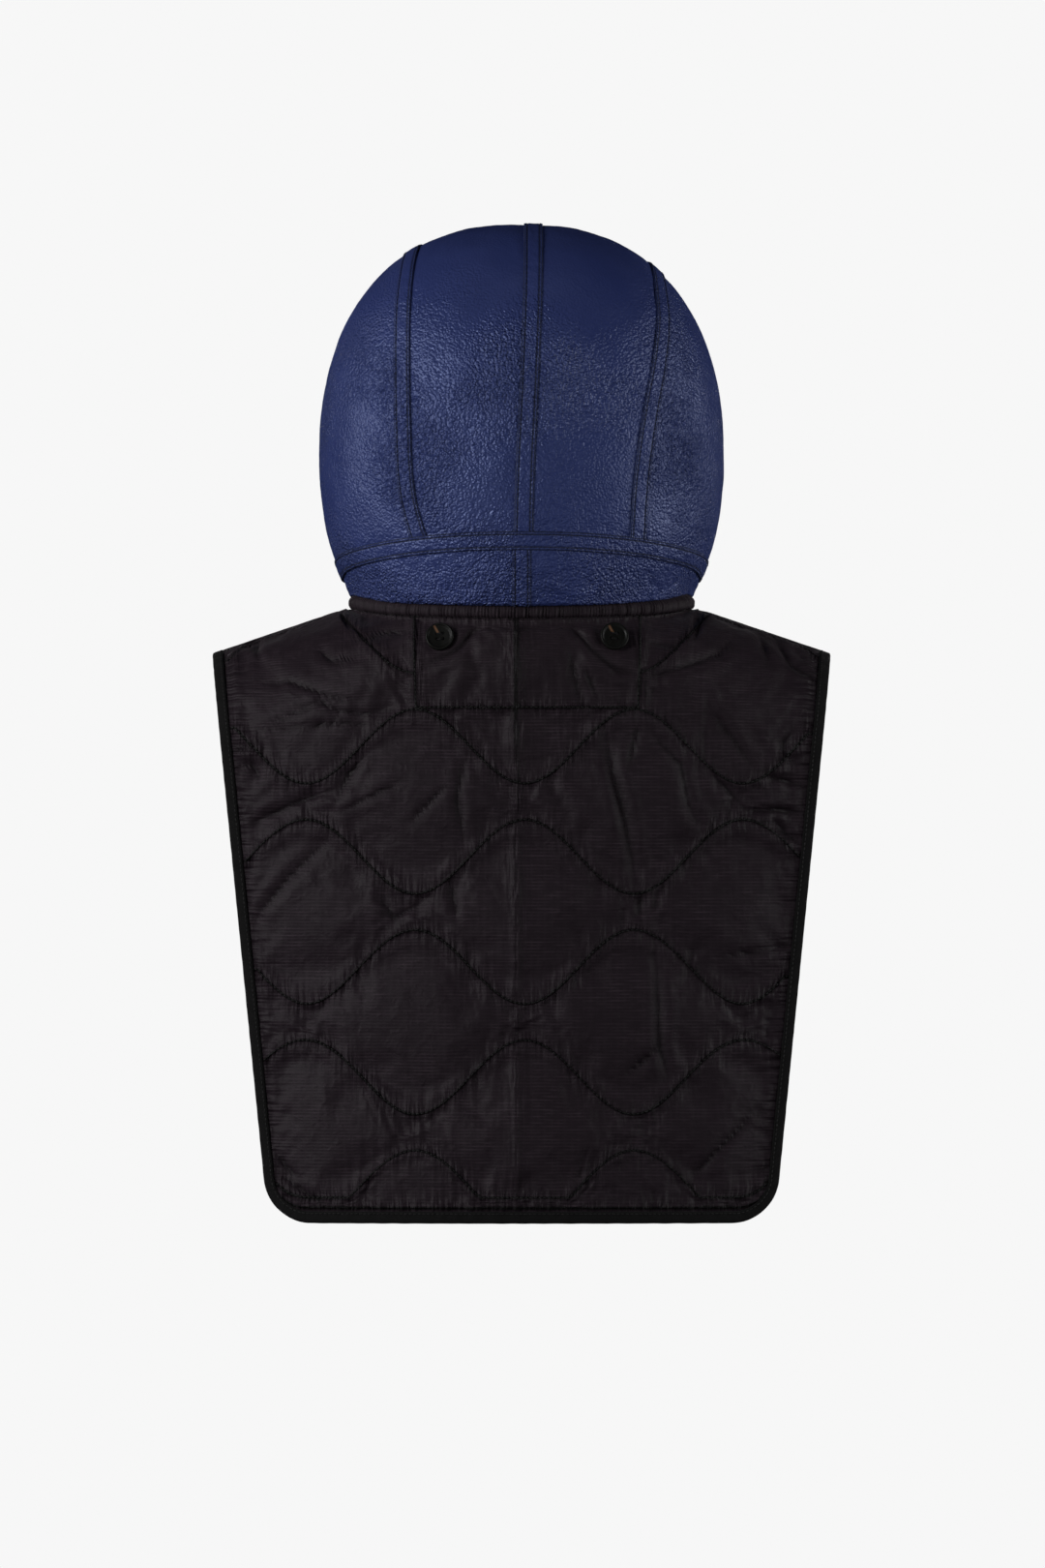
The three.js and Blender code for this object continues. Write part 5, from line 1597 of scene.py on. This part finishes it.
        # The finish paints shade along the sewing and in the creases from these marks.
        sheet.mark("away", self.from_sewing() / MM)
        sheet.mark("crease", self.creases())
        side = np.maximum(self.bib.half_width - self.bib.border - np.abs(self.col.across), 0.0) / MM
        sheet.mark("side", np.broadcast_to(side, self.paths.shape))
        close_up(sheet.mesh)
        outs = normals_of(self.shape, self.bib.face.value)
        patch = self.is_in_patch()
        for mark in self.marks[2:-2]:
            for part in self.runs_of(~patch[mark]):
                stitches.sew(self.shape[mark, part], outs[mark, part], 0.1 * MM)
        if self.bib.patch:
            self.sew_patch(outs, stitches)
        piece = add_piece("quilted_" + name, sheet.mesh, [Finish.RIPSTOP], [name])
        return piece

    def sew_patch(self, outs: np.ndarray, stitches: Stitches) -> None:
        """Sews the sides and the foot of the patch at the back of the neck."""
        left, right, foot = self.bib.patch
        inside = np.flatnonzero((self.col.across >= left - 1e-6) & (self.col.across <= right + 1e-6))
        line, ways = [], []
        for column in inside:
            levels = -self.flat[:, column, 2]
            share = np.interp(-foot, levels, np.arange(len(levels)))
            row, part = int(share), share % 1.0
            line.append(lerp(self.shape[row, column], self.shape[row + 1, column], part))
            ways.append(outs[row, column])
        stitches.sew(np.array(line), np.array(ways), 0.1 * MM)
        for column in (inside[0], inside[-1]):
            shown = self.flat[:, column, 2] > foot
            stitches.sew(self.shape[shown, column], outs[shown, column], 0.1 * MM)

    @staticmethod
    def runs_of(shown: np.ndarray) -> list[slice]:
        """Splits a row of places into its unbroken runs of shown ones."""
        edges = np.flatnonzero(np.diff(np.concatenate([[0], shown.astype(int), [0]])))
        return [slice(a, b) for a, b in zip(edges[::2], edges[1::2]) if b - a > 3]


@dataclass
class EdgeBinding:
    """The tape folded round the edge of both sides of the bib."""

    back: Bib
    front: Bib
    width: float = 8.0 * MM
    thickness: float = 1.0 * MM
    clearance: float = 0.45 * MM
    stitch_inset: float = 1.5 * MM
    spacing: float = 2.6 * MM

    def edge_of(self, bib: Bib) -> tuple[np.ndarray, np.ndarray]:
        """Gives the places along a side's edge and the ways out of its cloth there."""
        places, normals = [], []
        corner = 1.0 - bib.hem_corner / bib.hem_half_width
        angles = np.radians(np.linspace(90.0, 0.0, 24))
        turned = 1.0 - (1.0 - corner) * (1.0 - np.sin(angles))
        hem = np.concatenate([-turned[1:], np.linspace(-corner, corner, 120)[1:-1], turned[::-1][:-1]])
        for side in (-1.0, 0.0, 1.0):
            across = np.full(160, side) * bib.half_width if side else hem * bib.half_width
            col = bib.column(across)
            path = bib.path_at(col, bib.hem_at(across))
            if side:
                path = np.linspace(0.0, path[0], 160)
                path = path[::-1] if side > 0 else path
            ahead = bib.column(np.minimum(across + MM, bib.half_width))
            behind = bib.column(np.maximum(across - MM, -bib.half_width))
            over = bib.at(ahead, path) - bib.at(behind, path)
            down = bib.at(col, path + MM) - bib.at(col, np.maximum(path - MM, 0.0))
            places.append(bib.at(col, path))
            normals.append(unit(np.cross(over, down) * bib.face.value))
        return np.concatenate(places), np.concatenate(normals)

    def build(self, stitches: Stitches) -> bpy.types.Object:
        """Makes the tape and sews both its edges."""
        (one, one_out), (two, two_out) = self.edge_of(self.back), self.edge_of(self.front)
        line = np.concatenate([one, two[::-1]])
        outs = np.concatenate([one_out, two_out[::-1]])
        line, outs = np.concatenate([line, line[:1]]), np.concatenate([outs, outs[:1]])
        line, outs = along_line(line, self.spacing, outs)
        outs = unit(outs)
        ways = np.gradient(line, axis=0)
        ways[0] = ways[-1] = line[1] - line[-2]
        away = unit(np.cross(ways, outs))
        away *= np.sign(dot(away, line - np.array([0.0, 0.0, line[:, 2].mean()])))
        for _ in range(6):
            away = unit(away + np.roll(away[:-1], 1, axis=0)[np.r_[0:len(away) - 1, 0]]
                        + np.roll(away[:-1], -1, axis=0)[np.r_[0:len(away) - 1, 0]])
        c, t = self.clearance, self.thickness
        rim, inside = c + t, c + t - self.width
        under = -self.back.quilt - c
        half = (under - t - rim) / 2.0
        middle = rim + half
        turns = np.linspace(0.0, math.pi, 9)[1:-1]
        bend = [(rim - 1.6 * MM + 1.6 * MM * math.sin(a), middle - half * -math.cos(a)) for a in turns]
        profile = [(inside, 0.05 * MM), (inside - 0.1 * MM, rim * 0.6), (inside + 0.7 * MM, rim),
                   (inside + 1.9 * MM, rim * 0.93),
                   (inside + 3.4 * MM, rim * 1.02), (rim - 2.6 * MM, rim)]
        lower = [(past, 2 * middle - lift) for past, lift in profile[::-1]]
        bend = [(past, 2 * middle - lift) for past, lift in bend]
        ring = np.array([*profile, *bend, *lower, (inside, -1.0 * MM), profile[0]])
        run = np.arange(len(line)) * self.spacing
        waver = 0.07 * MM * Ripples(31, 17 * MM, 1)(run)
        grid = line[None] + away[None] * (ring[:, 0][:, None] + waver * 0.6)[..., None] \
            + outs[None] * (ring[:, 1][:, None] * (1.0 + 0.1 * Ripples(32, 12 * MM, 1)(run)))[..., None]
        grid[:, -1] = grid[:, 0]
        sheet = SheetMesh("bound_edge", len(line) - 1, len(ring) - 1)
        sheet.lay(grid)
        girth = np.concatenate([[0.0], np.cumsum(np.linalg.norm(np.diff(ring, axis=0), axis=1))])
        sheet.map_cloth(np.broadcast_to(run, grid.shape[:2]), np.broadcast_to(girth[:, None], grid.shape[:2]))
        close_up(sheet.mesh, 0.01 * MM)
        spot = line + away * (inside + self.stitch_inset)
        stitches.sew(spot + outs * rim, outs, 0.0, True)
        return add_piece("bound_edge", sheet.mesh, [Finish.TAPE], ["edge_binding"])


@dataclass
class Button:
    """A dished horn button with a raised rim and four sewing holes."""

    name: str
    across: float
    bib: Bib
    finish: Finish
    below_neck: float = 14.6 * MM
    radius: float = 9.75 * MM
    thickness: float = 3.4 * MM
    rim: float = 2.1 * MM
    dish: float = 0.9 * MM
    hole: float = 1.0 * MM
    hole_spread: float = 1.9 * MM
    seat: float = 0.5 * MM
    foot: float = 0.8
    lean: float = 0.5
    cloth_fall: float = 0.9 * MM

    def frame(self) -> Matrix:
        """Gives the button's place and turn on the bib."""
        bib = self.bib
        level = bib.form.top - bib.form.neck_drop - bib.roll_height - self.below_neck
        col = bib.column(np.array([self.across - 0.5 * MM, self.across, self.across + 0.5 * MM]))
        path = np.full(3, bib.path_at(col, level)[1])
        spots = bib.at(col, path)
        down = bib.at(col, path + 0.5 * MM) - bib.at(col, path - 0.5 * MM)
        normal = Vector(np.cross(spots[2] - spots[0], down[1]) * bib.face.value).normalized()
        axis = normal.lerp(Vector((0.0, bib.face.value, 0.0)), self.lean).normalized()
        lift = self.seat + self.radius * self.foot * math.sin(normal.angle(axis)) - self.cloth_fall
        turn = Vector((0.0, 0.0, 1.0)).rotation_difference(axis)
        return Matrix.Translation(Vector(spots[1]) + normal * lift) @ turn.to_matrix().to_4x4()

    def build(self) -> bpy.types.Object:
        """Makes the button and its thread."""
        floor = self.thickness - self.dish
        bevel = self.rim * 0.25
        profile = [(0.0, 0.0), (self.radius * self.foot, 0.0), (self.radius, self.thickness * 0.45),
                   (self.radius - bevel, self.thickness), (self.radius - self.rim + bevel, self.thickness),
                   (self.radius - self.rim - bevel, floor), (0.0, floor)]
        shape = bmesh.new()
        spots = [shape.verts.new((x, 0.0, z)) for x, z in profile]
        edges = [shape.edges.new(pair) for pair in zip(spots, spots[1:])]
        bmesh.ops.bevel(shape, geom=spots[1:-1], offset=0.5 * MM, offset_type="OFFSET", segments=3,
                        profile=0.5,
                        affect="VERTICES", material=-1)
        bmesh.ops.spin(shape, geom=shape.verts[:] + shape.edges[:], cent=(0, 0, 0), axis=(0, 0, 1),
                       angle=2.0 * math.pi, steps=64, use_merge=True)
        bmesh.ops.remove_doubles(shape, verts=shape.verts[:], dist=0.005 * MM)
        bmesh.ops.recalc_face_normals(shape, faces=shape.faces[:])
        mesh = bpy.data.meshes.new(self.name + "_horn")
        shape.to_mesh(mesh)
        shape.free()
        self.drill(mesh)
        place = self.frame()
        mesh.transform(place)
        mesh.polygons.foreach_set("use_smooth", [True] * len(mesh.polygons))
        mesh.set_sharp_from_angle(angle=math.radians(40))
        piece = add_piece(self.name + "_horn", mesh, [self.finish], [self.name])
        self.tie(place)
        return piece

    def drill(self, mesh: bpy.types.Mesh) -> None:
        """Cuts the sewing holes through the button's mesh."""
        drill = bmesh.new()
        for x, y in ((1, 1), (-1, 1), (-1, -1), (1, -1)):
            place = Matrix.Translation((x * self.hole_spread, y * self.hole_spread, self.thickness / 2))
            bmesh.ops.create_cone(drill, cap_ends=True, segments=18, radius1=self.hole, radius2=self.hole,
                                  depth=3 * self.thickness, matrix=place)
        tool_mesh = bpy.data.meshes.new("drill")
        drill.to_mesh(tool_mesh)
        drill.free()
        blank, tool = bpy.data.objects.new("blank", mesh), bpy.data.objects.new("drill", tool_mesh)
        for item in (blank, tool):
            bpy.context.scene.collection.objects.link(item)
        cut = blank.modifiers.new("holes", "BOOLEAN")
        cut.operation, cut.object, cut.solver = "DIFFERENCE", tool, "EXACT"
        solved = blank.evaluated_get(bpy.context.evaluated_depsgraph_get())
        shape = bmesh.new()
        shape.from_mesh(solved.data)
        shape.to_mesh(mesh)
        shape.free()
        for item in (blank, tool):
            bpy.data.objects.remove(item)
        bpy.data.meshes.remove(tool_mesh)

    def tie(self, place: Matrix) -> bpy.types.Object:
        """Adds the two bars of thread between the holes."""
        shape = bmesh.new()
        height = self.thickness - self.dish
        for y in (-1.0, 1.0):
            for shift in (-0.28, 0.28):
                spot = Matrix.Translation((0.0, y * self.hole_spread + shift * MM, height - 0.15 * MM))
                size = Matrix.Diagonal((self.hole_spread * 1.18, 0.32 * MM, 0.75 * MM, 1.0))
                there = place @ spot @ size
                bmesh.ops.create_uvsphere(shape, u_segments=10, v_segments=8, radius=1.0, matrix=there)
        mesh = bpy.data.meshes.new(self.name + "_thread")
        shape.to_mesh(mesh)
        shape.free()
        close_up(mesh)
        return add_piece(self.name + "_thread", mesh, [Finish.BLACK_THREAD])


@dataclass
class Studio:
    """The camera, the floor and the lights."""

    pale: float = 0.930
    distance: float = 20.0
    frame_height: float = 1053.0 * MM
    middle: tuple[float, float] = (0.65 * MM, -368.7 * MM)
    floor_level: float = -0.95

    def build(self) -> None:
        """Sets the studio up."""
        scene = bpy.context.scene
        scene.view_settings.view_transform = "Standard"
        lens = bpy.data.cameras.new("camera")
        lens.sensor_width = 36.0
        lens.lens = lens.sensor_width * self.distance / self.frame_height
        lens.clip_end = 200.0
        camera = bpy.data.objects.new("camera", lens)
        camera.location = (self.middle[0], -self.distance, self.middle[1])
        camera.rotation_euler = (math.pi / 2.0, 0.0, 0.0)
        scene.collection.objects.link(camera)
        scene.camera = camera
        self.floor()
        self.backdrop()
        self.light("key_left", (-2.6, -2.3, 0.5), (1.2, 1.8), 75.0)
        self.light("key_right", (2.8, -1.9, -0.2), (1.2, 2.0), 22.0)
        self.light("side_left", (-3.4, -0.3, 0.3), (1.4, 2.2), 38.0)
        self.light("side_right", (3.4, 0.1, 0.1), (1.4, 2.2), 50.0)
        self.light("top", (0.0, -1.2, 2.6), (2.4, 1.6), 3.0)
        self.light("fill", (-0.4, -4.6, -1.3), (3.0, 2.4), 19.0)
        self.light("front_left", (-1.3, 3.2, 0.4), (1.6, 2.2), 110.0, False)
        self.light("front_right", (1.3, 3.2, 0.1), (1.6, 2.2), 95.0, False)

    def floor(self) -> None:
        """Lays the pale floor."""
        shape = bmesh.new()
        bmesh.ops.create_grid(shape, x_segments=1, y_segments=1, size=60.0)
        bmesh.ops.translate(shape, verts=shape.verts[:], vec=(0.0, 0.0, self.floor_level))
        mesh = bpy.data.meshes.new("floor")
        shape.to_mesh(mesh)
        shape.free()
        r = Recipe("pale_floor")
        mesh.materials.append(r.finish(
            Base_Color=(0.0, 0.0, 0.0, 1.0), Roughness=1.0, Specular_IOR_Level=0.0,
            Emission_Color=(self.pale, self.pale, self.pale, 1.0), Emission_Strength=1.0,
        ))
        floor = bpy.data.objects.new("floor", mesh)
        floor.visible_diffuse = floor.visible_glossy = floor.visible_shadow = False
        bpy.context.scene.collection.objects.link(floor)

    def backdrop(self) -> None:
        """Makes the surroundings as pale as the floor."""
        world = bpy.data.worlds.new("pale")
        world.use_nodes = True
        world.node_tree.nodes["Background"].inputs[0].default_value = (self.pale, self.pale, self.pale, 1.0)
        bpy.context.scene.world = world
        world.cycles_visibility.diffuse = False
        world.cycles_visibility.glossy = False

    def light(
        self,
        name: str,
        place: tuple[float, float, float],
        size: tuple[float, float],
        power: float,
        is_mirrored: bool = True,
    ) -> None:
        """Hangs a soft box that looks at the middle of the object.

        Args:
            name: Name of the light.
            place: Where it hangs.
            size: Its width and height.
            power: Its power in watts.
            is_mirrored: Whether glossy surfaces show its reflection.
        """
        lamp = bpy.data.lights.new(name, "AREA")
        lamp.shape = "RECTANGLE"
        lamp.size, lamp.size_y = size
        lamp.energy = power
        box = bpy.data.objects.new(name, lamp)
        box.location = place
        aim = Vector((0.0, 0.0, -0.25)) - Vector(place)
        box.rotation_euler = aim.to_track_quat("-Z", "Y").to_euler()
        box.visible_camera = False
        box.visible_glossy = is_mirrored
        bpy.context.scene.collection.objects.link(box)


def from_pixels(x: float, y: float) -> tuple[float, float]:
    """Turns a place in the picture into metres across and up."""
    return (x - 539.0) * 0.65 * MM, 7.0 * MM - (y - 232.0) * 0.65 * MM


BACK_FOLDS = tuple(
    Fold(tuple(from_pixels(*place) for place in line), depth * MM, reach * MM)
    for line, depth, reach in (
        (((627, 755), (633, 800), (645, 845), (658, 915)), 2.4, 4.0),
        (((661, 745), (647, 797)), 1.2, 3.0),
        (((668, 750), (690, 778), (702, 792), (708, 830), (722, 856)), 1.3, 3.5),
        (((735, 735), (756, 764), (778, 796)), 1.3, 3.5),
        (((735, 800), (766, 834)), 1.5, 3.5),
        (((586, 642), (610, 672), (638, 694), (662, 697)), 1.7, 3.5),
        (((588, 672), (600, 726)), 1.2, 3.0),
        (((603, 690), (618, 724)), 1.0, 3.0),
        (((664, 704), (705, 692), (742, 680), (758, 662)), 1.2, 3.5),
        (((668, 665), (702, 670)), 1.0, 3.0),
        (((797, 658), (812, 688), (842, 704)), 1.4, 3.0),
        (((783, 662), (792, 688)), 1.0, 2.8),
        (((784, 802), (808, 806), (836, 816)), 1.6, 3.0),
        (((768, 838), (800, 836), (834, 842)), 1.4, 3.0),
        (((798, 846), (812, 862), (828, 871)), 1.2, 3.0),
        (((820, 752), (806, 772), (820, 788)), 1.2, 3.0),
        (((663, 920), (658, 946)), 1.0, 2.6),
        (((262, 758), (300, 740), (333, 727), (355, 737), (382, 738), (402, 732)), 1.5, 3.5),
        (((264, 757), (345, 748), (384, 750)), 1.1, 3.0),
        (((270, 708), (300, 706), (346, 722), (392, 724)), 1.0, 3.5),
        (((362, 668), (398, 655), (428, 652)), 1.3, 3.0),
        (((330, 672), (345, 688), (372, 682)), 1.0, 3.0),
        (((252, 856), (305, 830), (352, 814)), 1.6, 4.0),
        (((262, 955), (300, 908), (343, 864)), 1.9, 4.0),
        (((347, 836), (362, 800), (386, 774)), 1.2, 3.5),
        (((352, 840), (398, 816), (422, 806)), 1.0, 3.0),
        (((482, 778), (473, 824), (480, 868)), 1.2, 3.5),
        (((424, 850), (466, 808)), 0.8, 3.0),
        (((436, 692), (476, 670), (497, 644)), 1.5, 3.5),
        (((462, 724), (482, 690), (512, 660)), -1.2, 5.0),
        (((250, 672), (266, 662), (272, 690)), 1.2, 3.0),
        (((240, 775), (262, 770)), 1.2, 3.0),
        (((244, 792), (262, 790), (272, 806)), 1.2, 3.0),
        (((676, 970), (680, 1080), (690, 1115)), 1.8, 4.0),
        (((680, 1080), (645, 1110)), 1.3, 3.5),
        (((740, 988), (815, 975)), 1.5, 3.5),
        (((780, 1145), (735, 1190), (712, 1218)), 1.6, 3.5),
        (((290, 1210), (345, 1250)), 1.4, 3.5),
        (((285, 1190), (310, 1215)), 1.2, 3.0),
        (((395, 925), (408, 948), (440, 930)), 1.4, 3.5),
        (((466, 905), (474, 950)), 1.1, 3.0),
    )
)


def main() -> None:
    """Builds the hood, the roll, the bib, its binding and its buttons, then the studio."""
    logging.basicConfig(level=logging.INFO, format="%(name)s %(message)s")
    Studio().build()
    hood = Hood()
    hood.build()
    NeckRoll(hood.form).build()
    stitches = Stitches("bib_stitches", thick=0.85 * MM)
    patch = (-71.8 * MM, 79.2 * MM, -317.4 * MM)
    pins = ((-54.0 * MM, -271.5 * MM), (61.4 * MM, -271.5 * MM))
    back = Bib(Face.BACK, hood.form, BACK_FOLDS, patch=patch, middle_seam=-5.0 * MM, pins=pins)
    front = Bib(Face.FRONT, hood.form)
    back.build("back_bib", stitches)
    front.build("front_bib", stitches)
    EdgeBinding(back, front).build(stitches)
    stitches.finish(Finish.BLACK_THREAD, "ripstop_black")
    Button("button_left", -54.0 * MM, back, Finish.LEFT_HORN).build()
    Button("button_right", 61.4 * MM, back, Finish.RIGHT_HORN).build()


if __name__ == "__main__":
    main()
